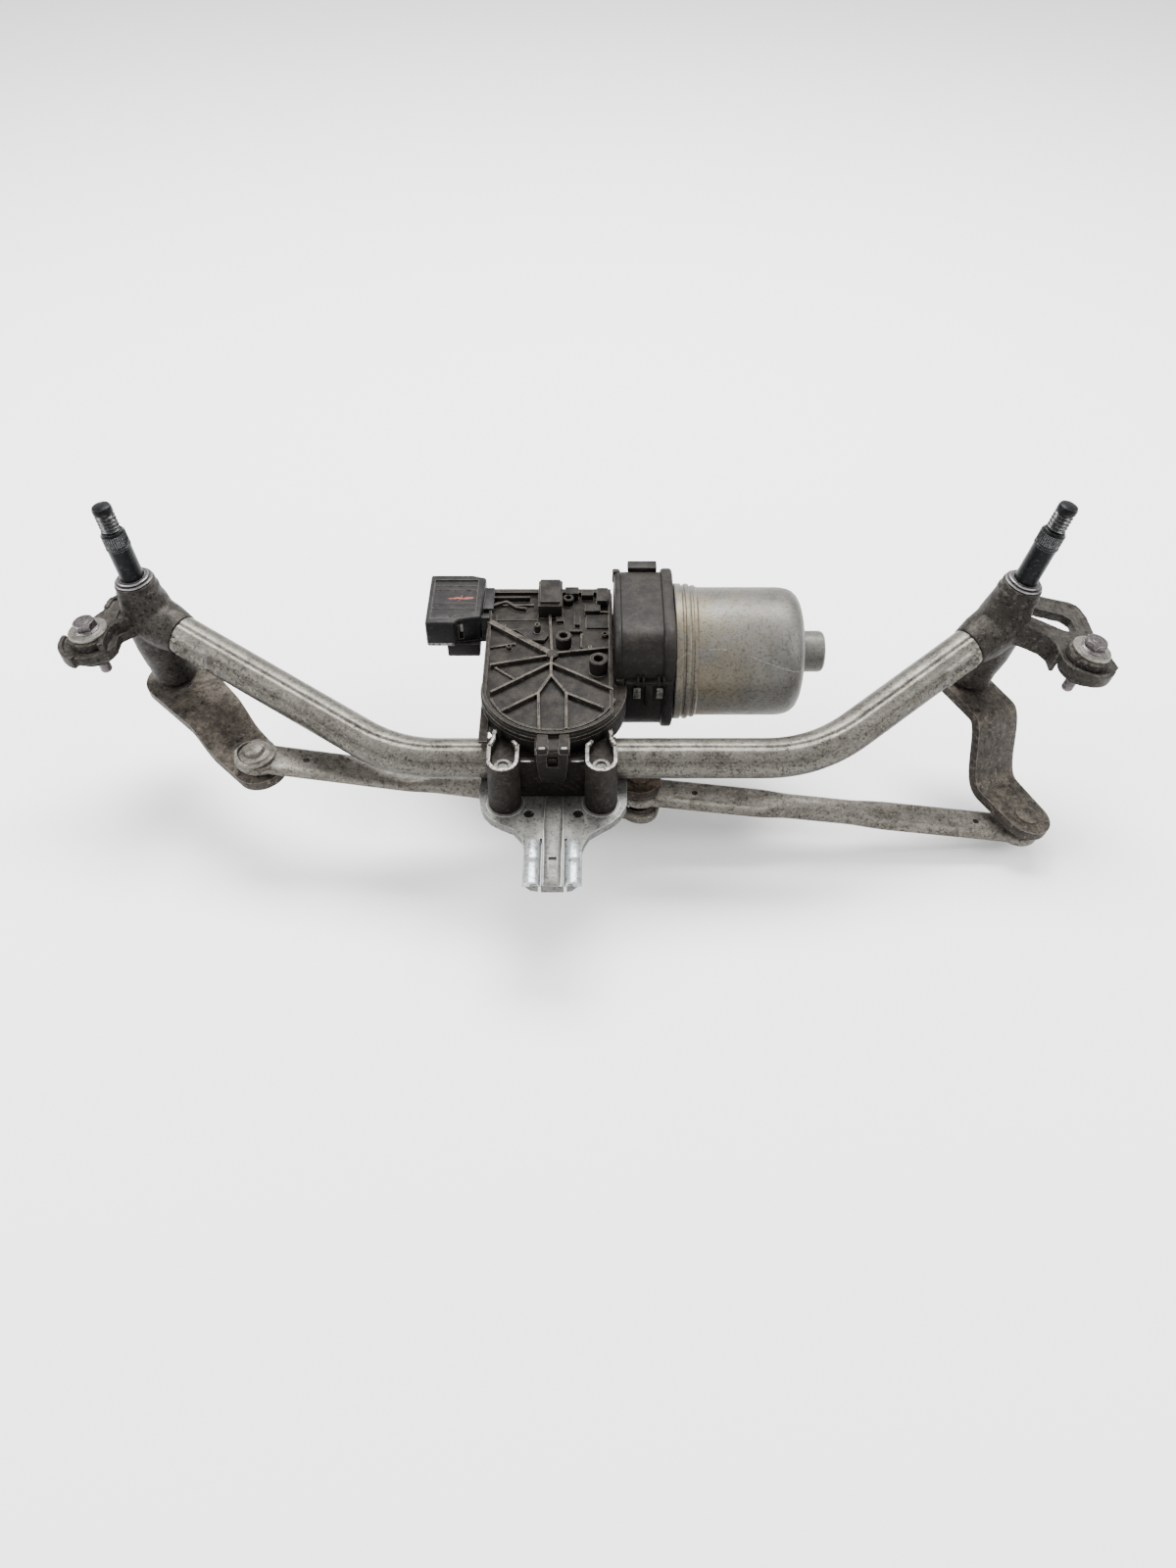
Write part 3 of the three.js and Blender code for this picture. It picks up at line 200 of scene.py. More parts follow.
def turned(name, profile, steps=64, ring=False):
    """Solid of revolution about Z from (radius, height) pairs; ring joins last to first."""
    tiny = 0.01
    loops = [[(max(r, tiny) * math.cos(math.tau * i / steps),
               max(r, tiny) * math.sin(math.tau * i / steps), z) for i in range(steps)]
             for r, z in profile]
    return rings(name, loops, wrap=ring)


def extruded(name, outline, low, high):
    """Upright solid between two heights on a flat outline."""
    return rings(name, [[(x, y, z) for x, y in outline] for z in (low, high)])


def block(name, low, high):
    (x0, y0, z0), (x1, y1, z1) = low, high
    return extruded(name, [(x0, y0), (x1, y0), (x1, y1), (x0, y1)], z0, z1)


def arc(x, y, radius, start, end, steps=24):
    """Points of an arc; angles in degrees."""
    turn = [math.radians(start + (end - start) * i / steps) for i in range(steps + 1)]
    return [(x + radius * math.cos(a), y + radius * math.sin(a)) for a in turn]


def aimed(place, direction, up=(0, 0, 1)):
    """Matrix that carries +Z to a direction, from the origin to a place."""
    z = Vector(direction).normalized()
    x = Vector(up).cross(z)
    x = x.normalized() if x.length > 1e-6 else Vector((1, 0, 0))
    turn = Matrix((x, z.cross(x), z)).transposed().to_4x4()
    return Matrix.Translation(place) @ turn


def moved(obj, matrix):
    obj.data.transform(matrix)
    return obj


print("turned, extruded and swept shapes are ready")

# %% Finish a shape: cut, melt, bevel and smooth
def settle(obj):
    """Replace the object's mesh by what its modifiers make of it."""
    bpy.context.view_layer.update()
    depsgraph = bpy.context.evaluated_depsgraph_get()
    result = bpy.data.meshes.new_from_object(obj.evaluated_get(depsgraph))
    obj.modifiers.clear()
    old, obj.data = obj.data, result
    bpy.data.meshes.remove(old)
    return obj


def cut(obj, *cutters):
    for cutter in cutters:
        modifier = obj.modifiers.new("cut", "BOOLEAN")
        modifier.operation = "DIFFERENCE"
        modifier.solver = "EXACT"
        modifier.object = cutter
    settle(obj)
    for cutter in cutters:
        bpy.data.objects.remove(cutter)
    return obj


def joined(name, *parts):
    """One object from several, without merging their surfaces."""
    data = bmesh.new()
    for part in parts:
        data.from_mesh(part.data)
        bpy.data.objects.remove(part)
    return as_object(name, data)


def melted(name, parts, voxel, rounds):
    """Union of closed shapes as one skin with soft corners."""
    obj = joined(name, *parts)
    remesh = obj.modifiers.new("melt", "REMESH")
    remesh.mode = "VOXEL"
    remesh.voxel_size = voxel
    remesh.adaptivity = 0
    settle(obj)
    if rounds:
        smooth = obj.modifiers.new("soften", "SMOOTH")
        smooth.factor = 0.5
        smooth.iterations = rounds
        settle(obj)
    return obj


def bevelled(obj, width, segments=2, angle=32):
    bevel = obj.modifiers.new("bevel", "BEVEL")
    bevel.width = width
    bevel.segments = segments
    bevel.limit_method = "ANGLE"
    bevel.angle_limit = math.radians(angle)
    bevel.use_clamp_overlap = True
    return settle(obj)


PIECES = []


def hand_over(obj, matrix, body, finish, stands_for=(), sharp=35):
    """Place a finished shape, give it its finish and smooth shading, attach it to its body, and
    hide the CAD nodes it stands for.
    """
    obj.data.transform(matrix)
    obj.data.materials.clear()
    obj.data.materials.append(finish)
    for face in obj.data.polygons:
        face.use_smooth = True
    obj.data.set_sharp_from_angle(angle=math.radians(sharp))
    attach(obj, body)
    if stands_for:
        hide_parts(*stands_for)
    PIECES.append(obj.name)
    return obj


print("cutting, melting and bevelling are ready")

# %% [markdown]
# ## Finishes
# Nothing on this drive is clean. One recipe covers it all: two base tones in soft clouds,
# a fine speckle of grit, pale dust where a face looks up, bright edges (bare metal on most
# finishes, a painted highlight on the thread and splines), and a bump from the same noises.
# Each finish is that recipe with its own numbers. The noises read Object coordinates in
# metres, so a scale of 100 means patches about 10 mm across.

# %% Small kit for shader nodes
class Nodes:
    """A material's node tree, with short names for the nodes a worn finish needs."""

    def __init__(self, name):
        self.material = bpy.data.materials.new(name)
        self.material.use_nodes = True
        self.tree = self.material.node_tree
        self.shader = self.tree.nodes["Principled BSDF"]
        self.place = self.add("ShaderNodeTexCoord")

    def add(self, kind, **settings):
        node = self.tree.nodes.new(kind)
        for label, value in settings.items():
            setattr(node, label, value)
        return node

    def feed(self, node, values):
        """Link each named socket, or set it if the value is plain."""
        for label, value in values.items():
            if isinstance(value, bpy.types.NodeSocket):
                self.tree.links.new(value, node.inputs[label])
            else:
                node.inputs[label].default_value = value

    def cloud(self, scale, detail=4, roughness=0.6, stretch=None):
        source = self.place.outputs["Object"]
        if stretch:
            mapping = self.add("ShaderNodeMapping")
            self.feed(mapping, {"Vector": source, "Scale": stretch})
            source = mapping.outputs["Vector"]
        node = self.add("ShaderNodeTexNoise")
        self.feed(node, {"Vector": source, "Scale": scale, "Detail": detail,
                         "Roughness": roughness})
        return node.outputs["Fac"]

    def ramp(self, source, low, high, top=1.0):
        node = self.add("ShaderNodeMapRange", interpolation_type="SMOOTHSTEP")
        self.feed(node, {"Value": source, "From Min": low, "From Max": high, "To Max": top})
        return node.outputs["Result"]

    def blend(self, factor, a, b):
        node = self.add("ShaderNodeMix", data_type="RGBA")
        self.feed(node, {"A": a, "B": b, "Factor": factor})
        return node.outputs["Result"]

    def product(self, a, b):
        node = self.add("ShaderNodeMath", operation="MULTIPLY")
        self.feed(node, {0: a, 1: b})
        return node.outputs["Value"]

    def wandering_lines(self):
        """Thin curves where a slow noise crosses its middle value."""
        node = self.add("ShaderNodeMath", operation="COMPARE")
        self.feed(node, {0: self.cloud(14, 0.5, 0.4, (0.6, 1.6, 1.6)), 1: 0.5, 2: 0.0022})
        return self.product(node.outputs["Value"], self.ramp(self.cloud(60, 3), 0.48, 0.56, 0.45))

    def upward(self):
        """1 where a face looks up and 0 where it looks sideways or down."""
        split = self.add("ShaderNodeSeparateXYZ")
        self.feed(split, {"Vector": self.place.outputs["Normal"]})
        return self.ramp(split.outputs["Z"], 0.1, 0.95)

    def edges(self, size, amount):
        """Amount near sharp edges, found by comparing a rounded normal with the true one."""
        rounded = self.add("ShaderNodeBevel", samples=6)
        self.feed(rounded, {"Radius": size})
        geometry = self.add("ShaderNodeNewGeometry")
        match = self.add("ShaderNodeVectorMath", operation="DOT_PRODUCT")
        self.feed(match, {0: rounded.outputs["Normal"], 1: geometry.outputs["Normal"]})
        return self.ramp(match.outputs["Value"], 0.995, 0.9, amount)


print("shader node kit is ready")

# %% Recipe for a worn finish
DEPTH = 0.40                                  # studio light is strong, so tones go darker
# Bright edges are rubbed metal, except on the thread and spline finish, where they are a painted
# highlight.
EDGE_DEPTH = 0.9                              # rubbed edges stay bright
SHEEN = 0.14                                  # dirt takes most of the gloss off a surface
GRIT_SIZE = 0.45                              # the smaller the number, the coarser the grit
BUMP_DEPTH = 0.25 * MM


def worn(name, tones, metal, rough, *, dust=(0.5, 0.47, 0.42), dust_amount=0.25,
         speck=(0.03, 0.025, 0.02), speck_amount=0.3, speck_scale=1400, cloud_scale=60,
         edge=None, edge_amount=0.0, edge_size=0.4, bump=0.25, bump_scale=900, streak=None,
         shade=1.0, stains_and_shade=None, scratch=None):
    """tones: base pair; rough: lowest and highest; the marked colour and its amount give a stain on
    the can and painted shade on the tube.
    """
    n = Nodes(name)
    depth = DEPTH * shade

    def tone(color, gain=1.0):
        return (*(depth * gain * c for c in color), 1)

    color = n.blend(n.ramp(n.cloud(cloud_scale), 0.35, 0.65), *map(tone, tones))
    if streak:
        stripe_color, stripe_amount, stretch = streak
        stripes = n.ramp(n.cloud(80, 2, 0.5, stretch), 0.5, 0.62, stripe_amount)
        color = n.blend(stripes, color, tone(stripe_color))
    # Marked vertices take a second colour: painted shade on the tube, a yellowish dust stain on the
    # can's beads.
    if stains_and_shade:
        stain_shade_color, stain_shade_amount = stains_and_shade
        marked = n.add("ShaderNodeAttribute", attribute_name="line")
        patchy = n.ramp(n.cloud(cloud_scale * 2), 0.3, 0.6, stain_shade_amount)
        color = n.blend(n.product(marked.outputs["Fac"], patchy), color, tone(stain_shade_color))
    if scratch:
        color = n.blend(n.wandering_lines(), color, tone(scratch))
    grit_scale = speck_scale * GRIT_SIZE
    grit = n.ramp(n.cloud(grit_scale, 3, 0.75), 0.51, 0.61, min(1.0, 2.4 * speck_amount))
    color = n.blend(grit, color, tone(speck))
    pale_grit = n.ramp(n.cloud(grit_scale * 0.8, 3, 0.8, (1, 1, 1.3)), 0.55, 0.64, 0.7)
    color = n.blend(pale_grit, color, tone(dust, 0.9))
    drifts = n.ramp(n.cloud(cloud_scale * 2.3, 6, 0.75), 0.38, 0.66, dust_amount)
    settled = n.product(n.upward(), drifts)
    color = n.blend(settled, color, tone(dust))
    fine_dust = n.product(settled, n.ramp(n.cloud(speck_scale * 0.8, 2, 0.8), 0.4, 0.6))
    color = n.blend(fine_dust, color, tone(tuple(min(1, 1.35 * c) for c in dust)))
    # Bright edges: rubbed metal on most finishes, a painted highlight on the thread and splines.
    if edge:
        rubbed = n.product(n.edges(edge_size * MM, edge_amount),
                           n.ramp(n.cloud(cloud_scale * 3), 0.3, 0.5))
        color = n.blend(rubbed, color, tone(edge, EDGE_DEPTH / depth))
    gloss = n.add("ShaderNodeMapRange")
    n.feed(gloss, {"Value": n.cloud(cloud_scale * 4, 5, 0.7), "To Min": rough[0],
                   "To Max": rough[1]})
    raised = n.add("ShaderNodeBump")
    n.feed(raised, {"Strength": bump, "Distance": BUMP_DEPTH,
                    "Height": n.cloud(bump_scale, 3, 0.65)})
    n.feed(n.shader, {"Base Color": color, "Roughness": gloss.outputs["Result"],
                      "Normal": raised.outputs["Normal"], "Metallic": metal,
                      "Specular IOR Level": SHEEN})
    return n.material


print("worn-finish recipe is ready")

# %% Mix the visible finishes
# The tube's dark marked colour darkens it along its grooves, and is painted shade on its underside
# and in its crimp slots.
TUBE_PAINT = worn("grey tube paint", ((0.30, 0.285, 0.25), (0.235, 0.22, 0.19)), 0.6,
                  (0.3, 0.5), dust=(0.52, 0.49, 0.42), dust_amount=0.35, speck_amount=0.35,
                  speck_scale=1500, cloud_scale=45, bump=0.22,
                  streak=((0.12, 0.105, 0.085), 0.4, (0.12, 3.0, 3.0)), shade=0.85,
                  stains_and_shade=((0.07, 0.06, 0.05), 0.85))
CASTING = worn("grimy casting", ((0.13, 0.12, 0.108), (0.075, 0.066, 0.056)), 0.5,
               (0.42, 0.7), dust=(0.30, 0.27, 0.23), dust_amount=0.4, speck_amount=0.5,
               speck_scale=1100, cloud_scale=70, edge=(0.34, 0.32, 0.29), edge_amount=0.5,
               edge_size=0.5, bump=0.45, bump_scale=700, shade=0.55)
CASE_GRIME = worn("brown gear case grime", ((0.045, 0.036, 0.030), (0.022, 0.018, 0.016)), 0.2,
                  (0.6, 0.85), dust=(0.15, 0.125, 0.1), dust_amount=0.5, speck_amount=0.4,
                  speck_scale=1000, cloud_scale=80, edge=(0.55, 0.52, 0.46), edge_amount=0.55,
                  edge_size=0.35, bump=0.5, bump_scale=650, shade=0.5)
COVER_PLASTIC = worn("dusty cover plastic", ((0.040, 0.034, 0.030), (0.026, 0.022, 0.020)), 0.0,
                     (0.5, 0.75), dust=(0.12, 0.10, 0.08), dust_amount=0.75, speck_amount=0.35,
                     speck_scale=1000, cloud_scale=55, edge=(0.30, 0.27, 0.23), edge_amount=0.7,
                     edge_size=0.35, bump=0.4, bump_scale=800, shade=0.42)
NECK_PLASTIC = worn("neck plastic", ((0.038, 0.032, 0.029), (0.022, 0.020, 0.019)), 0.0,
                    (0.38, 0.65), dust=(0.10, 0.085, 0.07), dust_amount=0.6, speck_amount=0.35,
                    speck_scale=1000, cloud_scale=45, bump=0.3, bump_scale=800, shade=0.5)
CAN_PAINT = worn("satin can paint", ((0.34, 0.335, 0.315), (0.27, 0.262, 0.24)), 0.45,
                 (0.38, 0.55), dust=(0.42, 0.40, 0.36), dust_amount=0.25,
                 speck=(0.10, 0.09, 0.075), speck_amount=0.25, speck_scale=1600,
                 cloud_scale=28, bump=0.12, shade=0.85,
                 streak=((0.17, 0.16, 0.14), 0.35, (1.2, 1.2, 0.4)),
                 stains_and_shade=((0.40, 0.33, 0.21), 0.75), scratch=(0.85, 0.85, 0.83))
ZINC = worn("dull zinc plate", ((0.42, 0.41, 0.37), (0.32, 0.305, 0.27)), 0.6,
            (0.35, 0.55), dust=(0.5, 0.47, 0.4), dust_amount=0.3, speck=(0.12, 0.1, 0.08),
            speck_amount=0.35, speck_scale=1500, cloud_scale=50, edge=(0.7, 0.7, 0.68),
            edge_amount=0.5, bump=0.18)
LINK_PAINT = worn("dusty link paint", ((0.29, 0.27, 0.235), (0.18, 0.163, 0.138)), 0.5,
                  (0.4, 0.62), dust=(0.48, 0.45, 0.39), dust_amount=0.35, speck_amount=0.35,
                  speck_scale=1400, cloud_scale=55, edge=(0.45, 0.43, 0.4), edge_amount=0.4,
                  bump=0.22, streak=((0.10, 0.088, 0.07), 0.45, (0.3, 3.0, 3.0)), shade=1.1)
ARM_PAINT = worn("brown arm grime", ((0.12, 0.105, 0.09), (0.075, 0.064, 0.054)), 0.4,
                 (0.5, 0.75), dust=(0.36, 0.31, 0.25), dust_amount=0.45, speck_amount=0.4,
                 speck_scale=1000, cloud_scale=60, edge=(0.4, 0.38, 0.34), edge_amount=0.45,
                 bump=0.45, bump_scale=750, shade=0.85)
BLACK_STEEL = worn("black phosphate steel", ((0.018, 0.022, 0.024), (0.012, 0.014, 0.016)), 0.6,
                   (0.32, 0.5), dust=(0.12, 0.12, 0.12), dust_amount=0.2, speck_amount=0.1,
                   cloud_scale=70, edge=(0.35, 0.36, 0.38), edge_amount=0.5, edge_size=0.25,
                   bump=0.12, shade=0.6)
BRIGHT_STEEL = worn("bright steel", ((0.36, 0.345, 0.36), (0.24, 0.225, 0.235)), 0.85,
                    (0.28, 0.5), dust=(0.35, 0.32, 0.28), dust_amount=0.3, speck_amount=0.3,
                    cloud_scale=120, edge=(0.75, 0.74, 0.76), edge_amount=0.6, bump=0.18)
RUBBER = worn("old rubber", ((0.028, 0.026, 0.024), (0.05, 0.046, 0.041)), 0.0, (0.65, 0.9),
              dust=(0.25, 0.22, 0.18), dust_amount=0.5, cloud_scale=120, bump=0.35)
BOSS_GRIME = worn("boss grime", ((0.060, 0.048, 0.040), (0.030, 0.025, 0.021)), 0.3,
                  (0.5, 0.8), dust=(0.17, 0.14, 0.115), dust_amount=0.45, speck_amount=0.4,
                  speck_scale=1000, cloud_scale=90, edge=(0.75, 0.72, 0.68), edge_amount=0.9,
                  edge_size=0.55, bump=0.45, bump_scale=650, shade=0.5)
RIB_PLASTIC = worn("rubbed rib plastic", ((0.050, 0.043, 0.038), (0.032, 0.028, 0.025)), 0.0,
                   (0.5, 0.75), dust=(0.22, 0.19, 0.155), dust_amount=0.8, speck_amount=0.25,
                   speck_scale=1000, cloud_scale=55, edge=(0.36, 0.32, 0.27), edge_amount=0.8,
                   edge_size=0.4, bump=0.3, bump_scale=800, shade=0.75)
SOCKET_PLASTIC = worn("black socket plastic", ((0.016, 0.016, 0.018), (0.024, 0.023, 0.024)), 0.0,
                      (0.35, 0.6), dust=(0.10, 0.09, 0.08), dust_amount=0.35, speck_amount=0.2,
                      speck_scale=1000, cloud_scale=60, edge=(0.22, 0.21, 0.2), edge_amount=0.6,
                      edge_size=0.4, bump=0.25, bump_scale=800, shade=0.6)
PLATE_ZINC = worn("grey zinc plate", ((0.36, 0.365, 0.35), (0.27, 0.27, 0.255)), 0.55,
                  (0.35, 0.55), dust=(0.46, 0.45, 0.41), dust_amount=0.3, speck=(0.10, 0.09, 0.07),
                  speck_amount=0.4, speck_scale=1500, cloud_scale=60, edge=(0.75, 0.76, 0.76),
                  edge_amount=0.6, bump=0.2, shade=0.8)
BRIGHT_ZINC = worn("bright bluish zinc", ((0.66, 0.71, 0.74), (0.50, 0.55, 0.58)), 0.6,
                   (0.22, 0.42), dust=(0.7, 0.72, 0.72), dust_amount=0.2, speck=(0.15, 0.14, 0.12),
                   speck_amount=0.35, speck_scale=1400, cloud_scale=110, edge=(0.9, 0.92, 0.93),
                   edge_amount=0.5, bump=0.2, shade=1.3)
# Pale finish for the latch tips; on the socket's lower front edge it is a painted highlight.
PALE_MARK = worn("pale mark and painted highlight", ((0.55, 0.54, 0.52), (0.35, 0.34, 0.32)), 0.2, (0.35, 0.6),
                 speck_amount=0.4, cloud_scale=220, bump=0.2, shade=1.3)
RED_PAINT = worn("red inspection paint", ((0.34, 0.045, 0.035), (0.22, 0.03, 0.026)), 0.0,
                 (0.45, 0.65), dust=(0.3, 0.16, 0.13), dust_amount=0.3, cloud_scale=300,
                 bump=0.3, shade=2.2)
CRANK_GRIME = worn("rusty crank grime", ((0.075, 0.055, 0.043), (0.05, 0.036, 0.028)), 0.35,
                   (0.5, 0.8), dust=(0.3, 0.2, 0.13), dust_amount=0.5, speck_amount=0.45,
                   speck_scale=900, cloud_scale=100, edge=(0.3, 0.26, 0.22), edge_amount=0.5,
                   bump=0.5, bump_scale=700, shade=0.6)
RUBBED_CAST = worn("rubbed bright casting", ((0.62, 0.6, 0.56), (0.36, 0.34, 0.31)), 0.5,
                   (0.3, 0.5), dust_amount=0.1, speck_amount=0.5, cloud_scale=260, bump=0.3)
# A lighter copy of the spindles' black steel with bright edges: painted highlight, so the fine
# thread and splines stand out.
HIGHLIT_THREAD_STEEL = worn("thread steel with painted highlights", ((0.085, 0.09, 0.095), (0.045, 0.048, 0.052)), 0.8,
                    (0.25, 0.4), dust_amount=0.1, speck_amount=0.2, cloud_scale=150,
                    edge=(0.4, 0.42, 0.44), edge_amount=0.7, edge_size=0.2, bump=0.1)
DULL_MARK = worn("dull grey mark", ((0.3, 0.29, 0.27), (0.14, 0.13, 0.12)), 0.2, (0.4, 0.6),
                 speck_amount=0.5, cloud_scale=260, bump=0.2)
# Near-black finish for the plugs in the bracket's two holes: painted shade, not dirt.
HOLE_SHADE = worn("painted hole shade", ((0.012, 0.010, 0.009), (0.006, 0.005, 0.005)), 0.0,
                 (0.8, 0.95), dust_amount=0.0, speck_amount=0.2, cloud_scale=300, bump=0.3)
print("visible finishes:", len(bpy.data.materials) - 1)

# %% [markdown]
# ## Frame tube
# The backbone is one steel tube, bent twice and crimped on a casting at each end. A curve
# with a round bevel would give the bends, but not the two shallow grooves the bending
# leaves along it, or the long pressed loops of the crimps. So the section is carried along
# the route ring by ring, and its radius changes with the angle and the distance.

# %% Route of the tube
TUBE_R = 10.3
TUBE_WALL = 2.0
BEND_R = 80
TUBE_GAP = 21.2                               # from a spindle's axis to the tube's end
TO_DRIVE = DRIVE.inverted()
LEFT_CENTRE = TO_DRIVE @ LEFT_SPINDLE.to_translation()
RIGHT_CENTRE = TO_DRIVE @ RIGHT_SPINDLE.to_translation()
TUBE_Y, TUBE_Z = -26, 10.6                    # level of the tube's middle run
BENDS = [Vector((-80, TUBE_Y, TUBE_Z)), Vector((133.5, TUBE_Y, TUBE_Z))]
LEFT_LEG = (BENDS[0] - LEFT_CENTRE).normalized()
RIGHT_LEG = (BENDS[1] - RIGHT_CENTRE).normalized()


def tube_route(step=1.1):
    """Evenly spaced points from the left casting to the right one."""
    points = [LEFT_CENTRE + LEFT_LEG * TUBE_GAP]
    for corner, leg in zip(BENDS, (LEFT_LEG, RIGHT_LEG)):
        reach = BEND_R * math.tan(math.acos(abs(leg.x)) / 2)
        inward = Vector((math.copysign(reach, leg.x), 0, 0))
        ends = [corner - leg * reach, corner + inward]
        if leg.x < 0:
            ends.reverse()
        for k in range(25):
            t = k / 24
            points.append(ends[0] * (1 - t) ** 2 + corner * 2 * t * (1 - t) + ends[1] * t * t)
    points.append(RIGHT_CENTRE + RIGHT_LEG * TUBE_GAP)
    route = [points[0]]
    for a, b in zip(points, points[1:]):
        pieces = max(1, round((b - a).length / step))
        route += [a.lerp(b, (k + 1) / pieces) for k in range(pieces)]
    return route


def bump_at(distance, width):
    return math.exp(-(distance / width) ** 2)


def crimp(along, around):
    """Height of a pressed loop: a raised rim round a sunk slot."""
    half_length, radius = 7.0, 4.0
    side = math.hypot(max(abs(along) - half_length, 0), around) - radius
    rim = 1.5 * bump_at(side, 1.2)
    slot = -2.2 * bump_at(math.hypot(max(abs(along - 1) - 5, 0), around), 1.3)
    return rim + slot


def tube_radius(along, length, angle):
    """Radius at a distance along the tube and an angle from straight up, front positive."""
    grooves = 0.5 * bump_at(angle - 14, 5) + 0.45 * bump_at(angle - 58, 5)
    radius = TUBE_R - grooves
    for place in (14, length - 14):
        radius += crimp(along - place, math.radians(angle - 76) * TUBE_R)
        radius -= 1.2 * bump_at(math.hypot(along - place, 0.9 * (angle - 140) / 6), 5)
    return radius


def tube_painted_shade(degrees, from_end):
    """How much darker the tube is: along the grooves, and painted shade underneath and in the crimp
    slots.
    """
    slot = bump_at(math.hypot(max(abs(from_end - 15) - 5, 0),
                              math.radians(degrees - 76) * TUBE_R), 2.2)
    return min(1, bump_at(degrees - 10, 5) + 0.7 * bump_at(degrees - 60, 4)
               + 0.8 * bump_at(degrees - 118, 16) + slot)


def mark_stains_and_shade(obj, strengths):
    """Store one number per vertex for the marked colour: painted shade on the tube, a dust stain on
    the can's beads.
    """
    layer = obj.data.attributes.new("line", "FLOAT", "POINT")
    for index, strength in enumerate(strengths):
        layer.data[index].value = strength
    return obj


def frame_tube():
    route = tube_route()
    length = sum((b - a).length for a, b in zip(route, route[1:]))
    outer, inner, along = [], [], 0.0
    steps = 96
    marks = [0.0] * (2 * steps)
    for k, point in enumerate(route):
        ahead = (route[min(k + 1, len(route) - 1)] - route[max(k - 1, 0)]).normalized()
        front = ahead.cross(Vector((0, 0, 1))).normalized()
        up = front.cross(ahead).normalized()
        if k:
            along += (point - route[k - 1]).length
        loop = []
        for i in range(steps):
            degrees = 360 * i / steps - 180
            a = math.radians(degrees)
            out = up * math.cos(a) + front * math.sin(a)
            loop.append(point + out * tube_radius(along, length, degrees))
            marks.append(tube_painted_shade(degrees, min(along, length - along)))
        outer.append(loop)
        if k in (0, len(route) - 1):
            inner.append([point + (p - point).normalized() * (TUBE_R - TUBE_WALL) for p in loop])
    inner_a = [p + LEFT_LEG * 3 for p in inner[0]]
    inner_b = [p + RIGHT_LEG * 3 for p in inner[1]]
    loops = [inner_a, inner[0], *outer, inner[1], inner_b]
    return mark_stains_and_shade(rings("tube", loops), marks + [0.0] * (2 * steps))


tube = hand_over(frame_tube(), DRIVE, "frame_group", TUBE_PAINT, ["frame_tube"], sharp=40)
print("tube faces:", len(tube.data.polygons))

# %% [markdown]
# ## Pivot housings
# Each housing is a die casting: a barrel for the spindle, a socket that runs into the tube,
# and an ear on two arms that holds a rubber mounting. Castings have no sharp inner corners,
# so the shapes overlap freely and one voxel remesh melts them together.

# %% Cast the two housings
EAR_PLATE = 5.0
LEFT_COLLAR, RIGHT_COLLAR = 23.5, 27.5        # tops of the barrels
LEFT_FOOT, RIGHT_FOOT = -42, -39              # feet of the barrels, where the arms start
LEFT_EAR_LIFT, RIGHT_EAR_LIFT = 0, 7          # height of each ear's middle plane
BORE_R = 8.1
EAR_EYE_R = 7.8


def wall_along(name, path, thick, low, high):
    """Upright wall of even thickness along a flat path."""
    sides = ([], [])
    for k, (x, y) in enumerate(path):
        before, after = path[max(k - 1, 0)], path[min(k + 1, len(path) - 1)]
        run = Vector((after[0] - before[0], after[1] - before[1])).normalized()
        for side, sign in zip(sides, (1, -1)):
            side.append((x - sign * run.y * thick / 2, y + sign * run.x * thick / 2))
    return extruded(name, sides[0] + sides[1][::-1], low, high)


def barrel(collar, bottom):
    profile = [(BORE_R, bottom), (10.6, bottom), (11.6, bottom + 1.4), (11.6, bottom + 11),
               (12.2, bottom + 14), (13.2, -16), (13.4, 4), (12.6, 10), (11.2, collar - 9),
               (11.2, collar - 4.4), (10.5, collar - 3.6), (10.5, collar - 0.5),
               (10.1, collar), (BORE_R, collar)]
    return turned("barrel", profile, 72, ring=True)


def leg_socket(leg, frame_matrix):
    """Cone from the barrel down to the tube's end, then the spigot inside the tube."""
    direction = (frame_matrix.to_3x3().inverted() @ (DRIVE.to_3x3() @ leg)).normalized()
    profile = [(0, 4), (13.2, 4), (12.6, 12), (10.9, TUBE_GAP - 0.6), (10.4, TUBE_GAP - 0.3),
               (8.0, TUBE_GAP - 0.3), (8.0, TUBE_GAP + 22), (0, TUBE_GAP + 22)]
    return moved(turned("leg", profile, 64), aimed((0, 0, 0), direction)), direction


def fin(direction, start, end, drop, thick=3.2):
    """Web that hangs under the leg socket and ties it to the barrel."""
    side = Vector((direction.x, direction.y, 0)).normalized()
    cross = Vector((-side.y, side.x, 0)) * thick / 2
    a = direction * start
    b = direction * end
    profile = [a, b, a + Vector((0, 0, drop))]
    return rings("fin", [[p + cross * s for p in profile] for s in (1, -1)])


def housing(name, matrix, leg, collar, arm_top, ear, lift):
    bottom = arm_top + 1.3
    low, high = bottom - 4, collar + 4

    def bore():
        return turned("bore", [(0, low), (BORE_R, low), (BORE_R, high), (0, high)])

    socket, direction = leg_socket(leg, matrix)
    parts = [barrel(collar, bottom), cut(fin(direction, 8, 20, -22), bore()),
             cut(socket, bore())]
    under, over = lift - EAR_PLATE / 2, lift + EAR_PLATE / 2
    plate = extruded("ear plate", ear["plate"], under, over)
    window = extruded("ear window", ear["window"], under - 2, over + 2)
    eye = turned("eye", [(0, under - 3), (EAR_EYE_R, under - 3), (EAR_EYE_R, over + 3),
                         (0, over + 3)], 40)
    parts.append(cut(plate, window, moved(eye, Matrix.Translation((*ear["eye"], 0)))))
    for path, thick, below, above in ear["walls"]:
        parts.append(wall_along("ear wall", path, thick, under - below, over + above))
    return melted(name, parts, 0.5, 4)


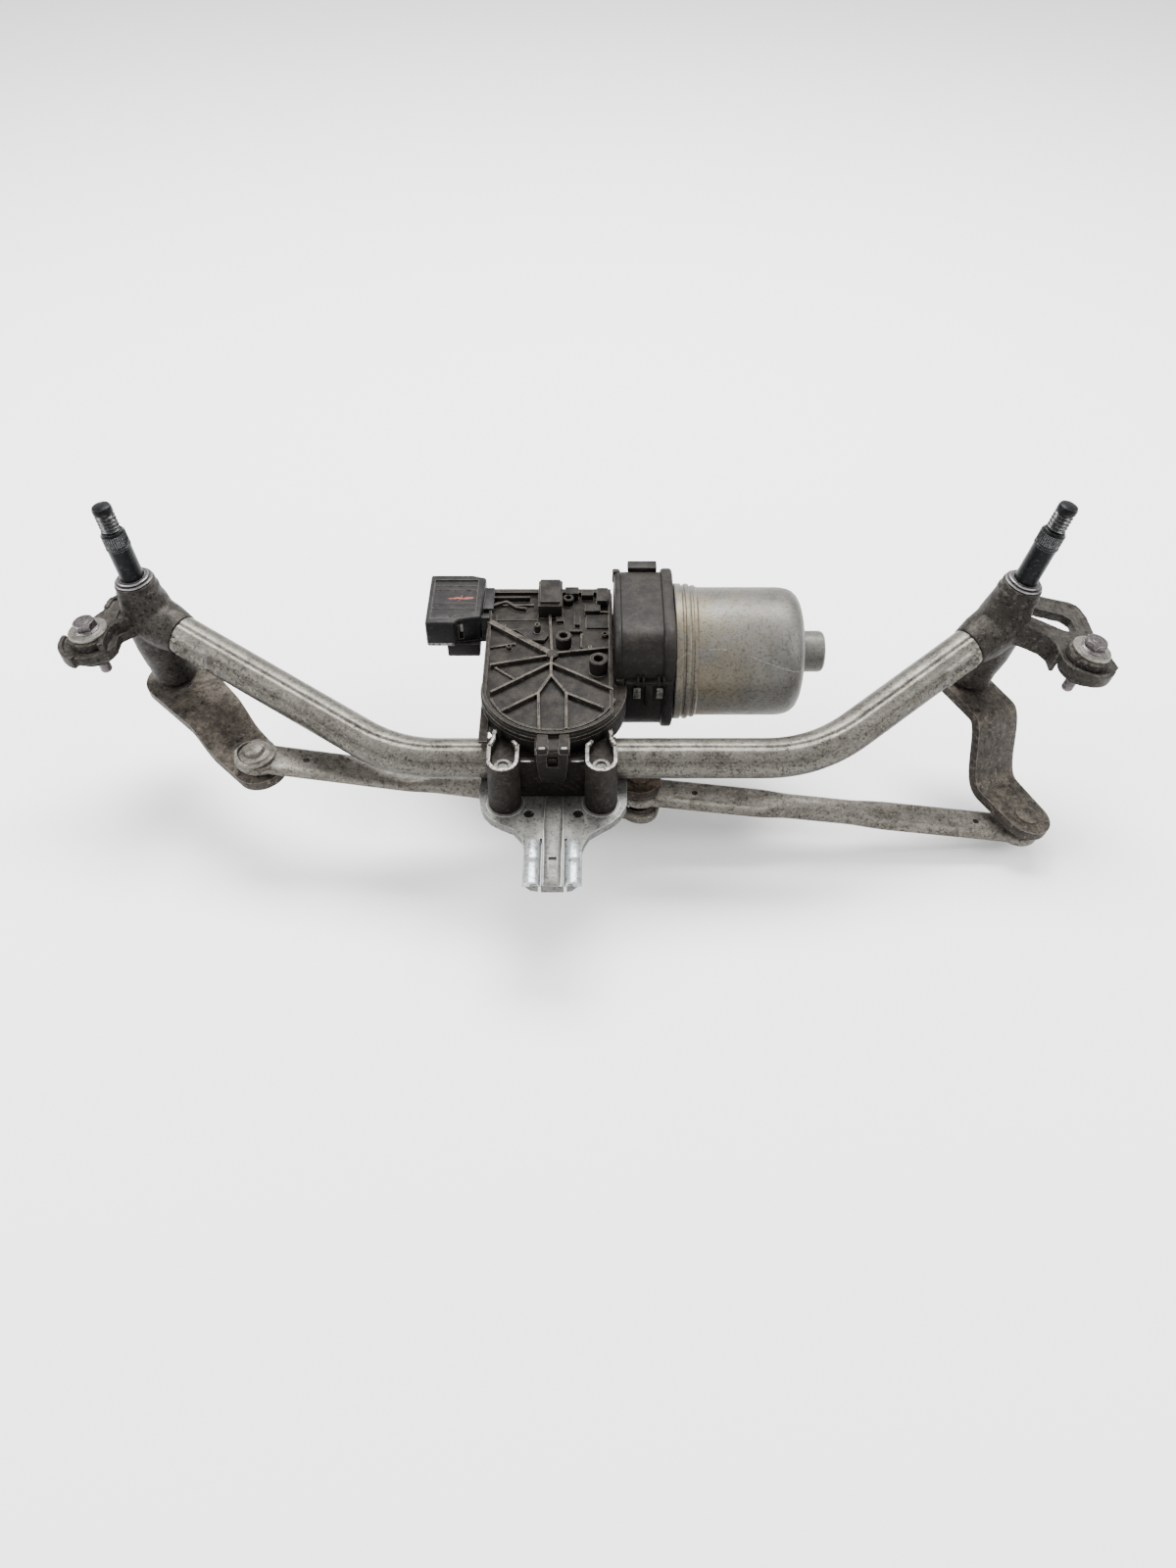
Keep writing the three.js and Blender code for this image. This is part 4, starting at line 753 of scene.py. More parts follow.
LEFT_EAR = {
    "eye": (-25.4, -19.3),
    "plate": [(-2, 9), (-10, 17), (-20, 17.5), (-25, 14), (-26.5, 6), (-31, 0), (-38, -7),
              *arc(-25.4, -19.3, 15.5, 140, 292, 16), (-14.5, -31), (-11, -26), (-11.5, -18),
              (-6, -14), (-2, -10)],
    "window": [(-12.6, 7), (-17.5, 6.5), (-17, -3), (-13.5, -8), (-11.5, -4)],
    "walls": [([(-4, -10), (-9, -11), (-14, -13.5), (-16.5, -19), (-16.5, -26), (-16, -31)],
               3.2, 1.0, 5.5),
              ([(-12, 16), (-20, 16), (-24, 13), (-25, 6)], 2.8, 3.0, 1.5),
              (arc(-25.4, -19.3, 16.2, 165, 250, 10), 2.6, 0.5, 1.6)],
}
RIGHT_EAR = {
    "eye": (36.2, -28.8),
    "plate": [(4, -8), (13, -12.5), (21, -15.5), (22.5, -19), (22.5, -32),
              *arc(36.2, -28.8, 14.2, 195, 300, 12), (49, -37), (54, -31), (52.5, -24),
              (50, -15), (48, -4), (48, 8), (45, 17.5), (41, 19), (24, 19.5), (8, 17), (2, 8)],
    "window": [(13.5, 7.5), (34, 6), (37.5, 3), (37.8, -6), (31, -7.5), (13, 0)],
    "walls": [([(6, -10), (13, -12.3), (20, -15.5), (22.8, -20), (22.8, -28)], 2.6, 7.0, 0.4),
              ([(10, 17.5), (24, 18.3), (41, 17.8), (45, 15), (47, 7)], 2.6, 4.0, 0.4),
              (arc(36.2, -28.8, 14.6, 230, 330, 12), 2.6, 0.6, 1.6)],
}
left_housing = hand_over(
    housing("left_housing", LEFT_SPINDLE, LEFT_LEG, LEFT_COLLAR, LEFT_FOOT, LEFT_EAR,
            LEFT_EAR_LIFT),
    LEFT_SPINDLE, "frame_group", CASTING, ["left_pivot_housing"], sharp=60)
right_housing = hand_over(
    housing("right_housing", RIGHT_SPINDLE, RIGHT_LEG, RIGHT_COLLAR, RIGHT_FOOT, RIGHT_EAR,
            RIGHT_EAR_LIFT),
    RIGHT_SPINDLE, "frame_group", CASTING, ["right_pivot_housing"], sharp=60)
print("housing faces:", len(left_housing.data.polygons), len(right_housing.data.polygons))

# %% [markdown]
# ## Spindles
# A wiper arm grips fine splines and is held by a nut, so each spindle ends in a splined
# band and a thread. Both repeat, which is work for Geometry Nodes. One tree copies a ridge
# round a circle, the other sweeps a V-shaped section along a spiral. Inputs are set by the
# socket's identifier, and the result is read back as a plain mesh.

# %% Small kit for node trees
def node_tree(title, inputs):
    tree = bpy.data.node_groups.new(title, "GeometryNodeTree")
    sockets = {}
    for label, kind, default in inputs:
        socket = tree.interface.new_socket(label, in_out="INPUT", socket_type=kind)
        if default is not None:
            socket.default_value = default
        sockets[label] = socket.identifier
    tree.interface.new_socket("Geometry", in_out="OUTPUT", socket_type="NodeSocketGeometry")
    return tree, sockets, tree.nodes.new("NodeGroupInput"), tree.nodes.new("NodeGroupOutput")


def finish_tree(tree, given, geometry, output):
    """Every tree ends in Realize Instances and Set Material."""
    real = tree.nodes.new("GeometryNodeRealizeInstances")
    painted = tree.nodes.new("GeometryNodeSetMaterial")
    tree.links.new(geometry, real.inputs["Geometry"])
    tree.links.new(real.outputs["Geometry"], painted.inputs["Geometry"])
    tree.links.new(given.outputs["Material"], painted.inputs["Material"])
    tree.links.new(painted.outputs["Geometry"], output.inputs["Geometry"])


def grown(name, tree, sockets, values, start=None):
    """Plain mesh of a node tree's result for one set of inputs."""
    mesh = start or bpy.data.meshes.new(name)
    obj = bpy.data.objects.new(name, mesh)
    bpy.context.scene.collection.objects.link(obj)
    modifier = obj.modifiers.new("grow", "NODES")
    modifier.node_group = tree
    for label, value in values.items():
        modifier[sockets[label]] = value
    return settle(obj)


def sweep_along(tree, curve, profile):
    """Sweep a profile along a curve that keeps its sides upright."""
    upright = tree.nodes.new("GeometryNodeSetCurveNormal")
    upright.mode = "Z_UP"
    sweep = tree.nodes.new("GeometryNodeCurveToMesh")
    sweep.inputs["Fill Caps"].default_value = True
    tree.links.new(curve, upright.inputs["Curve"])
    tree.links.new(upright.outputs["Curve"], sweep.inputs["Curve"])
    tree.links.new(profile, sweep.inputs["Profile Curve"])
    return sweep.outputs["Mesh"]


def lifted(tree, given, geometry):
    """Raise the geometry by the tree's Height input."""
    raise_all = tree.nodes.new("GeometryNodeTransform")
    lift = tree.nodes.new("ShaderNodeCombineXYZ")
    tree.links.new(given.outputs["Height"], lift.inputs["Z"])
    tree.links.new(geometry, raise_all.inputs["Geometry"])
    tree.links.new(lift.outputs["Vector"], raise_all.inputs["Translation"])
    return raise_all.outputs["Geometry"]


print("node tree kit is ready")

# %% Tree: a ridge repeated round a shaft
def ridge_tree():
    tree, sockets, given, output = node_tree("Ridges round a shaft", [
        ("Count", "NodeSocketInt", 40), ("Radius", "NodeSocketFloat", 6.0),
        ("Length", "NodeSocketFloat", 7.0), ("Width", "NodeSocketFloat", 0.5),
        ("Height", "NodeSocketFloat", 0.0), ("Material", "NodeSocketMaterial", None)])
    add, link = tree.nodes.new, tree.links.new
    circle = add("GeometryNodeMeshCircle")
    link(given.outputs["Count"], circle.inputs["Vertices"])
    link(given.outputs["Radius"], circle.inputs["Radius"])
    ridge = add("GeometryNodeMeshCylinder")
    ridge.inputs["Vertices"].default_value = 6
    link(given.outputs["Width"], ridge.inputs["Radius"])
    link(given.outputs["Length"], ridge.inputs["Depth"])
    copies = add("GeometryNodeInstanceOnPoints")
    link(circle.outputs["Mesh"], copies.inputs["Points"])
    link(ridge.outputs["Mesh"], copies.inputs["Instance"])
    finish_tree(tree, given, lifted(tree, given, copies.outputs["Instances"]), output)
    return tree, sockets


RIDGES = ridge_tree()
print("tree:", RIDGES[0].name)

# %% Tree: a thread swept along a spiral
def thread_tree():
    tree, sockets, given, output = node_tree("Thread on a shaft", [
        ("Turns", "NodeSocketFloat", 9.0), ("Radius", "NodeSocketFloat", 4.4),
        ("Length", "NodeSocketFloat", 13.0), ("Depth", "NodeSocketFloat", 0.6),
        ("Height", "NodeSocketFloat", 0.0), ("Material", "NodeSocketMaterial", None)])
    add, link = tree.nodes.new, tree.links.new
    spiral = add("GeometryNodeCurveSpiral")
    spiral.inputs["Resolution"].default_value = 40
    for ours, theirs in (("Turns", "Rotations"), ("Radius", "Start Radius"),
                         ("Radius", "End Radius"), ("Length", "Height")):
        link(given.outputs[ours], spiral.inputs[theirs])
    section = add("GeometryNodeCurvePrimitiveCircle")
    section.inputs["Resolution"].default_value = 4
    link(given.outputs["Depth"], section.inputs["Radius"])
    swept = sweep_along(tree, spiral.outputs["Curve"], section.outputs["Curve"])
    finish_tree(tree, given, lifted(tree, given, swept), output)
    return tree, sockets


THREAD = thread_tree()
print("tree:", THREAD[0].name)

# %% Make the spindles
THREAD_CORE = 4.0
SPLINE_LENGTH = 7.0


def spindle(side, matrix, foot, tip):
    thread_from = tip - 15
    spline_from = thread_from - SPLINE_LENGTH
    body = f"rocker_{side}"
    profile = [(0, foot), (7.2, foot), (7.9, foot + 0.6), (7.9, foot + 1.7), (6, foot + 1.7),
               (6, spline_from - 2.4), (6.35, spline_from - 2.1), (6.35, spline_from - 1.1),
               (5.9, spline_from - 0.7), (5.75, thread_from - 0.6), (5.2, thread_from + 0.4),
               (THREAD_CORE, thread_from + 1.0), (THREAD_CORE, tip - 4.2), (4.95, tip - 3.9),
               (4.95, tip - 1.6), (4.5, tip - 0.6), (3.3, tip), (0, tip)]
    shaft = turned(f"{side}_spindle_shaft", profile, 72)
    hand_over(shaft, matrix, body, BLACK_STEEL, [f"{side}_spindle"], sharp=30)
    splines = grown(f"{side}_spindle_splines", *RIDGES, {
        "Count": 34, "Radius": 5.85, "Length": SPLINE_LENGTH - 1.2, "Width": 0.45,
        "Height": spline_from + SPLINE_LENGTH / 2 - 0.4, "Material": HIGHLIT_THREAD_STEEL})
    hand_over(splines, matrix, body, HIGHLIT_THREAD_STEEL)
    thread = grown(f"{side}_spindle_thread", *THREAD, {
        "Turns": 5.0, "Radius": THREAD_CORE + 0.1, "Length": 9.4, "Depth": 0.85,
        "Height": thread_from + 1.2, "Material": HIGHLIT_THREAD_STEEL})
    hand_over(thread, matrix, body, HIGHLIT_THREAD_STEEL, sharp=60)


spindle("left", LEFT_SPINDLE, -49, 68.7)
spindle("right", RIGHT_SPINDLE, -46, 75.5)
print("spindles done")

# %% [markdown]
# ## Rocker arms
# Each rocker arm is a pressed steel lever with a step, so that the link clears the tube.
# The lever is a flat section carried down a stepped path. Its width swells into a round
# end at the hub and at the ball joint. A bevel then takes the sharpness off the pressing.

# %% Press the two rocker arms
ARM_T = 5.0


def s_curve(t):
    """Smooth 0 to 1 with a straight middle, like a pressed step."""
    t = min(max(t, 0), 1)
    return t * t * t * (t * (6 * t - 15) + 10)


def lever(name, reach, hub_r, waist, eye_r, top, step, start, end):
    """Lever along +X from a hub at the origin to an eye at the reach."""
    outline, total = [], 90
    first, last = -hub_r, reach + eye_r
    for k in range(total + 1):
        turn = math.pi * k / total
        x = (first + last) / 2 - math.cos(turn) * (last - first) / 2
        if x < 0:
            half = math.sqrt(max(hub_r ** 2 - x ** 2, 0))
        elif x > reach:
            half = math.sqrt(max(eye_r ** 2 - (x - reach) ** 2, 0))
        else:
            t = x / reach
            half = hub_r * (1 - t) + eye_r * t - waist * math.sin(math.pi * t) ** 1.5
        outline.append((x, max(half, 0.15)))
    loops = []
    for x, half in outline:
        z = top - step * s_curve((x - start) / (end - start))
        slope = step * (s_curve((x + 0.5 - start) / (end - start))
                        - s_curve((x - 0.5 - start) / (end - start)))
        dx, dz = ARM_T * slope / math.hypot(1, slope), ARM_T / math.hypot(1, slope)
        across = [-1, -0.5, 0, 0.5, 1]
        loops.append([(x, half * y, z) for y in across]
                     + [(x - dx, half * y, z - dz) for y in reversed(across)])
    return bevelled(rings(name, loops), 0.9, 3, 50)


SPINDLES = {"left": LEFT_SPINDLE, "right": RIGHT_SPINDLE}
ARM_ANGLE = {"left": -49.3, "right": -59.15}
ARMS = {
    "left": dict(reach=86, hub_r=17.4, waist=0.2, eye_r=12.8, top=LEFT_FOOT, step=11,
                 start=40, end=62),
    "right": dict(reach=72.2, hub_r=15.6, waist=-0.6, eye_r=13.4, top=RIGHT_FOOT, step=34.5,
                  start=21, end=52),
}


def rocker_arm(side):
    arm = lever(f"{side}_rocker_arm_pressing", **ARMS[side])
    arm.data.transform(Matrix.Rotation(math.radians(ARM_ANGLE[side]), 4, "Z"))
    hand_over(arm, SPINDLES[side], f"rocker_{side}", ARM_PAINT, [f"{side}_rocker_arm"], sharp=45)


rocker_arm("left")
rocker_arm("right")
print("rocker arms done")

# %% [markdown]
# ## Links
# A link is a round tube whose ends are squeezed flat and pierced for the ball joints. Its
# cross section changes smoothly from a disc to a long rounded slot, so the loops blend
# one shape into the other. Two shallow pressed channels stiffen each flat end.

# %% Squeeze the two links
LINK_R = 6.6
FLAT_HALF_W = 9.2
FLAT_HALF_T = 3.2
EYE_R = 11.4
PIN = Vector((44.5, -16.5, 0))
LOWER_BALL_Z = -35.5
UPPER_BALL_Z = -23.5


def arm_eye(side, height):
    """Centre of a rocker arm's eye, in spindle millimetres."""
    turn, reach = math.radians(ARM_ANGLE[side]), ARMS[side]["reach"]
    return Vector((reach * math.cos(turn), reach * math.sin(turn), height))


def slot_loop(half_w, half_t, steps=40):
    """Rounded slot or disc, from its half width and half thickness."""
    squareness = 2 + 2.2 * max(0, half_w - half_t) / FLAT_HALF_W
    loop = []
    for i in range(steps):
        a = math.tau * i / steps
        c, s = math.cos(a), math.sin(a)
        loop.append((half_w * math.copysign(abs(c) ** (2 / squareness), c),
                     half_t * math.copysign(abs(s) ** (2 / squareness), s)))
    return loop


def link_bar(name, start, end, end_up, flat_start, flat_end):
    run = end - start
    length = run.length
    loops, stations = [], 150
    first, last = -EYE_R, length + EYE_R
    for k in range(stations + 1):
        x = (first + last) / 2 - math.cos(math.pi * k / stations) * (last - first) / 2
        near = 1 - s_curve((x - flat_start) / 24)
        far = s_curve((x - length + flat_end + 20) / 26)
        flat = max(near, far)
        half_w = LINK_R + (FLAT_HALF_W - LINK_R) * flat
        half_t = LINK_R + (FLAT_HALF_T - LINK_R) * flat
        for gap in (abs(x), abs(length - x)):
            if gap < EYE_R + 9:
                round_end = math.sqrt(max(EYE_R ** 2 - gap ** 2, 0.02))
                half_w = round_end if (x < 0 or x > length) else max(half_w, round_end)
        up = Vector((0, 0, 1)).lerp(end_up, s_curve(x / length)).normalized()
        side = up.cross(run).normalized()
        up = run.cross(side).normalized()
        channel = 0.75 * flat * min(1, max(0, (min(abs(x), abs(length - x)) - 17) / 8))
        loop = []
        for y, z in slot_loop(half_w, half_t):
            dip = channel * (bump_at(y - 3.4, 1.5) + bump_at(y + 3.4, 1.5))
            loop.append(start + run * (x / length) + side * y
                        + up * (z - math.copysign(dip, z)))
        loops.append(loop)
    bar = rings(name, loops)
    holes = []
    for place, up in ((start, Vector((0, 0, 1))), (end, end_up)):
        holes.append(moved(turned("hole", [(0, -9), (8.9, -9), (8.9, 9), (0, 9)], 64),
                           aimed(place, up)))
    for x in (flat_start - 30, length - flat_end + 52):
        place = start + run * (x / length)
        holes.append(moved(turned("drain", [(0, -9), (1.8, -9), (1.8, 9), (0, 9)], 24),
                           aimed(place, end_up if x > length / 2 else Vector((0, 0, 1)))))
    return cut(bar, *holes)


UP = Vector((0, 0, 1))
LEFT_UP = (LEFT_SPINDLE.to_3x3() @ UP).normalized()
RIGHT_UP = (RIGHT_SPINDLE.to_3x3() @ UP).normalized()
LEFT_BALL = TO_DRIVE @ (LEFT_SPINDLE @ arm_eye("left", -47))
RIGHT_BALL = TO_DRIVE @ (RIGHT_SPINDLE @ arm_eye("right", -85))
left_bar = link_bar("left_link_bar", PIN + UP * LOWER_BALL_Z, LEFT_BALL, LEFT_UP, 62, 78)
right_bar = link_bar("right_link_bar", PIN + UP * UPPER_BALL_Z, RIGHT_BALL, RIGHT_UP, 60, 76)
hand_over(left_bar, DRIVE, "link_left", LINK_PAINT, ["left_link"], sharp=38)
hand_over(right_bar, DRIVE, "link_right", LINK_PAINT, ["right_link"], sharp=38)
print("link lengths, mm:", round((LEFT_BALL - PIN).length), round((RIGHT_BALL - PIN).length))

# %% [markdown]
# ## Ball joints
# Where the left link lies over its arm the closed top of the joint shows: a small domed
# cap on a stepped seat, with a dark groove round it. All joint parts are turned shapes.

# %% Turn caps, sockets and rivets
CAP_FINISH = worn("joint cap steel", ((0.24, 0.225, 0.2), (0.15, 0.135, 0.115)), 0.6,
                  (0.4, 0.6), dust=(0.42, 0.38, 0.32), dust_amount=0.3, speck_amount=0.3,
                  cloud_scale=130, edge=(0.5, 0.48, 0.44), edge_amount=0.5, bump=0.25)
SOCKET_FINISH = worn("dark socket nylon", ((0.022, 0.02, 0.018), (0.05, 0.043, 0.035)), 0.0,
                     (0.45, 0.7), dust=(0.2, 0.16, 0.12), dust_amount=0.4, cloud_scale=150)

CAP = [(0, 7.6), (0.9, 7.7), (1.1, 8.2), (3.4, 8.0), (5.0, 7.2), (5.7, 6.0), (5.8, 5.0),
       (6.6, 4.6), (7.9, 4.5), (8.4, 4.1), (8.4, 3.6), (10.2, 3.6), (10.6, 3.3), (10.6, 2.7),
       (8.7, 2.7), (8.7, -4.2), (7.8, -4.6), (5.3, -4.6), (5.3, 1.2), (4, 4), (0, 5.2)]
COLLAR = [(5.3, -4.6), (7.8, -4.6), (8.6, -4.0), (8.6, 4.0), (7.8, 4.6), (5.3, 4.6)]


HALF_TURN = Matrix.Rotation(math.pi, 4, "X")


def joint_part(name, profile, place, direction, body, finish, replaced, ring=False):
    part = turned(name, profile, 64, ring=ring)
    hand_over(part, DRIVE @ aimed(place, direction), body, finish, [replaced], sharp=32)


PIN_COLLAR = [(6.8, -4.0), (7.8, -4.4), (8.6, -3.8), (8.6, 3.8), (7.8, 4.4), (6.8, 4.0)]
joint_part("left_joint_cap", CAP, LEFT_BALL, LEFT_UP, "link_left", CAP_FINISH,
           "left_rocker_socket")
joint_part("right_joint_collar", COLLAR, RIGHT_BALL, RIGHT_UP, "link_right", SOCKET_FINISH,
           "right_rocker_socket", ring=True)
joint_part("left_crank_collar", PIN_COLLAR, PIN + UP * LOWER_BALL_Z, UP, "link_left",
           SOCKET_FINISH, "left_crank_socket", ring=True)
joint_part("right_crank_collar", PIN_COLLAR, PIN + UP * UPPER_BALL_Z, UP, "link_right",
           SOCKET_FINISH, "right_crank_socket", ring=True)


def rivet_head(side, top, upward):
    profile = [(0, top - 5.0), (3.3, top - 5.0), (3.3, top + 0.1), (6.6, top + 0.1),
               (6.5, top + 0.9), (5.6, top + 1.3), (3.2, top + 1.5), (2.2, top + 1.3),
               (1.0, top + 1.5), (0, top + 1.5)]
    head = turned(f"{side}_rivet_head", profile, 48)
    if not upward:
        moved(head, Matrix.Translation((0, 0, 2 * top - ARM_T)) @ HALF_TURN)
    moved(head, Matrix.Translation(arm_eye(side, 0)))
    hand_over(head, SPINDLES[side], f"rocker_{side}", ARM_PAINT, [f"{side}_stud_rivet"])


rivet_head("left", -53, upward=False)
rivet_head("right", -73.5, upward=True)
print("ball joints done")

# %% [markdown]
# ## Spindle collars and ear mountings
# Each collar carries a washer and a spring clip. Each ear holds a waisted rubber grommet
# with a steel sleeve, a broad washer and a hexagon bolt. The bolt's head has its chamfer
# and its rolled flange, because they catch the light.

# %% Fit washers, clips, grommets and bolts
def collar_rings(side, collar):
    low = collar + 0.3
    washer = turned(f"{side}_collar_washer", [(6.4, low), (9.5, low), (9.8, low + 0.3),
                    (9.8, low + 0.7), (9.5, low + 1), (6.4, low + 1)], 72, ring=True)
    hand_over(washer, SPINDLES[side], "frame_group", BRIGHT_STEEL, [f"{side}_thrust_washer"])
    low += 1.3
    clip = turned(f"{side}_spring_clip", [(6.3, low), (8.0, low), (8.4, low + 0.3),
                  (8.4, low + 0.8), (8.0, low + 1.1), (6.3, low + 1.1)], 72, ring=True)
    gap = block("gap", (-1.4, 5, low - 1), (1.4, 10, low + 3))
    hand_over(cut(clip, gap), SPINDLES[side], f"rocker_{side}", BRIGHT_STEEL,
              [f"{side}_circlip"])


def hexagon_bolt(name, across, head, base):
    """Head with a chamfered top over a thin flange, and a shank below."""
    corner = across / math.sqrt(3)
    prism = extruded("hex", arc(0, 0, corner, 0, 300, 5), base + 0.8, base + head)
    dome = turned("dome", [(0, base - 1), (corner * 1.02, base - 1),
                           (corner * 1.02, base + head - 0.9), (corner * 0.86, base + head),
                           (0, base + head)], 48)
    modifier = prism.modifiers.new("chamfer", "BOOLEAN")
    modifier.operation = "INTERSECT"
    modifier.solver = "EXACT"
    modifier.object = dome
    settle(prism)
    bpy.data.objects.remove(dome)
    bevelled(prism, 0.25, 2)
    flange = turned("flange", [(0, base), (6.6, base), (6.6, base + 0.5), (5.6, base + 1.1),
                               (0, base + 1.1)], 48)
    dish = turned("dish", [(0, base + head - 0.01), (2.9, base + head - 0.01),
                           (2.6, base + head + 0.12), (0, base + head + 0.12)], 32)
    shank = turned("shank", [(0, base - 28), (2.4, base - 28), (3, base - 27), (3, base),
                             (0, base)], 32)
    return joined(name, prism, flange, dish, shank)


def ear_mounting(side, eye, lift):
    place = SPINDLES[side] @ Matrix.Translation((*eye, lift))
    half = 2.8
    grommet = turned(f"{side}_ear_grommet", [
        (5.3, -7.4), (9.4, -7.4), (10.7, -6.8), (11.2, -5.4), (11.0, -half), (7.5, -half),
        (7.5, half), (11.0, half), (11.3, 4.6), (10.8, 6.4), (9.4, 7.4), (5.3, 7.4)], 72,
        ring=True)
    hand_over(grommet, place, "frame_group", RUBBER, [f"{side}_grommet"])
    washer = turned(f"{side}_ear_washer", [
        (3.3, 8.0), (9.6, 8.0), (10.1, 8.3), (10.1, 9.1), (9.7, 9.5), (7.4, 9.55), (6.9, 9.8),
        (3.3, 9.8)], 72, ring=True)
    hand_over(washer, place, "frame_group", ZINC, [f"{side}_washer"])
    bolt = hexagon_bolt(f"{side}_ear_bolt", 10.4, 5.0, 9.8)
    turn = Matrix.Rotation(math.radians(12), 4, "Z")
    hand_over(bolt, place @ turn, "frame_group", BOLT_STEEL, [f"{side}_bolt"], sharp=28)


BOLT_STEEL = worn("purple-grey bolt steel", ((0.25, 0.215, 0.225), (0.15, 0.13, 0.135)), 0.75,
                  (0.3, 0.5), dust=(0.35, 0.31, 0.3), dust_amount=0.3, speck_amount=0.35,
                  cloud_scale=170, edge=(0.7, 0.68, 0.68), edge_amount=0.6, bump=0.22)
collar_rings("left", LEFT_COLLAR)
collar_rings("right", RIGHT_COLLAR)
ear_mounting("left", LEFT_EAR["eye"], LEFT_EAR_LIFT)
ear_mounting("right", RIGHT_EAR["eye"], RIGHT_EAR_LIFT)
print("pieces so far:", len(PIECES))

# %% [markdown]
# ## Gear case
# The case is a dark die casting full of road dirt: a round-fronted tray, a saddle over the
# tube, and two screw bosses whose open horseshoe tops have rubbed bright. Between the
# bosses a snap latch of the plastic cover comes down the front.

# %% Outline that the case and cover share
CASE_R = 37.0
CASE_LEFT = -36.6
CASE_RIGHT = 30.7
CASE_BACK = 80.0
BOSSES = ((-24, -47.5), (24, -47.5))


def case_outline(inset=0.0, steps=90, full=False):
    """Round front with straight sides; full keeps the bulge round the gear wheel."""
    radius, left, right = CASE_R - inset, CASE_LEFT + inset, CASE_RIGHT - inset
    a = math.degrees(math.acos(right / radius)) * (1 if full else -1)
    b = -math.degrees(math.acos(left / radius))
    if full:
        b = -360 - b
    front = arc(0, 0, radius, a, b, steps)
    return front + [(left, CASE_BACK - inset), (right, CASE_BACK - inset)]


def horseshoe(x, y, radius, reach):
    """Path of an open loop that points to the front."""
    return [(x - radius, y + reach), *arc(x, y, radius, 180, 360, 24), (x + radius, y + reach)]


print("outline points:", len(case_outline()))

# %% Cast the case and its bosses
def case_tray():
    tray = bevelled(extruded("tray", case_outline(full=True), 20.4, 33.2), 0.8, 3)
    lower = block("worm box", (CASE_LEFT + 0.4, 28, 9.5), (CASE_RIGHT - 0.4, 79.4, 21))
    rim = bevelled(extruded("rim", case_outline(-0.2, full=True), 31.6, 34.4), 0.5, 2)
    hub = turned("hub", [(0, 0.2), (10.2, 0.2), (10.8, 1), (12.5, 19), (16, 20.6), (0, 20.6)], 64)
    parts = [tray, bevelled(lower, 1.6, 3), rim, hub]
    for degrees in range(-164, -20, 16):
        a = math.radians(degrees)
        web = block("web", (-1.1, 0, 14), (1.1, 35.4, 21.2))
        parts.append(moved(web, Matrix.Rotation(a - math.pi / 2, 4, "Z")))
    for y in (-4, 8, 20, 34, 48, 62, 74):
        parts.append(bevelled(block("side rib", (CASE_LEFT - 0.3, y - 1.0, 21.5),
                                    (CASE_LEFT + 3, y + 1.0, 32.5)), 0.4, 2))
    for x, z in ((-30, 24.5), (-33, 27.5)):
        ledge = block("ledge", (CASE_LEFT - 0.3, x, z), (CASE_LEFT + 4, x + 34, z + 1.6))
        parts.append(bevelled(ledge, 0.5, 2))
    return joined("gear_case_tray", *parts)


def boss_block():
    """Both bosses, the saddle over the tube and the wall between, melted into one."""
    parts = [block("front wall", (-27, -43.2, 0.4), (27, -39.6, 25.0)),
             block("shelf", (-27, -43.2, 20.5), (27, -20, 23.6)),
             block("saddle back", (-30, -14, 2), (30, -9.5, 22))]
    for x, y in BOSSES:
        side = math.copysign(1, x)
        parts.append(turned("column", [(0, 0.3), (8.1, 0.3), (8.3, 1.4), (8.0, 21), (0, 21)], 56))
        moved(parts[-1], Matrix.Translation((x, y, 0)))
        floor = extruded("boss floor", [(x - 7.5, y + 22), *arc(x, y, 7.5, 180, 360, 24),
                                        (x + 7.5, y + 22)], 20, 25.4)
        parts.append(floor)
        parts.append(wall_along("horseshoe", horseshoe(x, y, 6.9, 10.5), 2.1, 20, 31.0))
        parts.append(wall_along("outer prong", [(x + side * 6.4, y + 9), (x + side * 5.2, y + 13.5),
                                                (x + side * 4.6, y + 21)], 2.2, 20, 31.6))
        parts.append(wall_along("inner prong", [(x - side * 6.6, y + 9), (x - side * 4.4, y + 13)],
                                2.0, 20, 31.2))
        parts.append(block("web", (x + side * 2.5 - 3, y + 4, 0.4), (x + side * 2.5 + 3, -38, 21)))
    skin = melted("bosses", parts, 0.42, 3)
    groove = moved(turned("tube gap", [(0, -60), (10.9, -60), (10.9, 60), (0, 60)], 72),
                   Matrix.Translation((0, TUBE_Y, TUBE_Z)) @ Matrix.Rotation(math.pi / 2, 4, "Y"))
    return cut(skin, groove)


def bright_rims():
    """Rubbed top edges of the two horseshoes and of the front wall."""
    parts = [block("wall edge", (-15.6, -43.3, 25.0), (-8.8, -42.3, 25.35)),
             block("wall edge", (9.4, -43.3, 25.0), (15.6, -42.3, 25.35))]
    for x, y in BOSSES:
        side = math.copysign(1, x)
        parts.append(wall_along("rim", horseshoe(x, y, 6.9, 10.5), 1.9, 30.7, 31.35))
        parts.append(wall_along("rim", [(x + side * 6.8, y + 10), (x + side * 5.2, y + 13.5),
                                        (x + side * 4.6, y + 20)], 1.5, 31.2, 31.85))
        parts.append(wall_along("rim", [(x - side * 6.8, y + 10), (x - side * 4.4, y + 13)],
                                1.5, 30.9, 31.5))
    return bevelled(joined("horseshoe_rims", *parts), 0.2, 2)


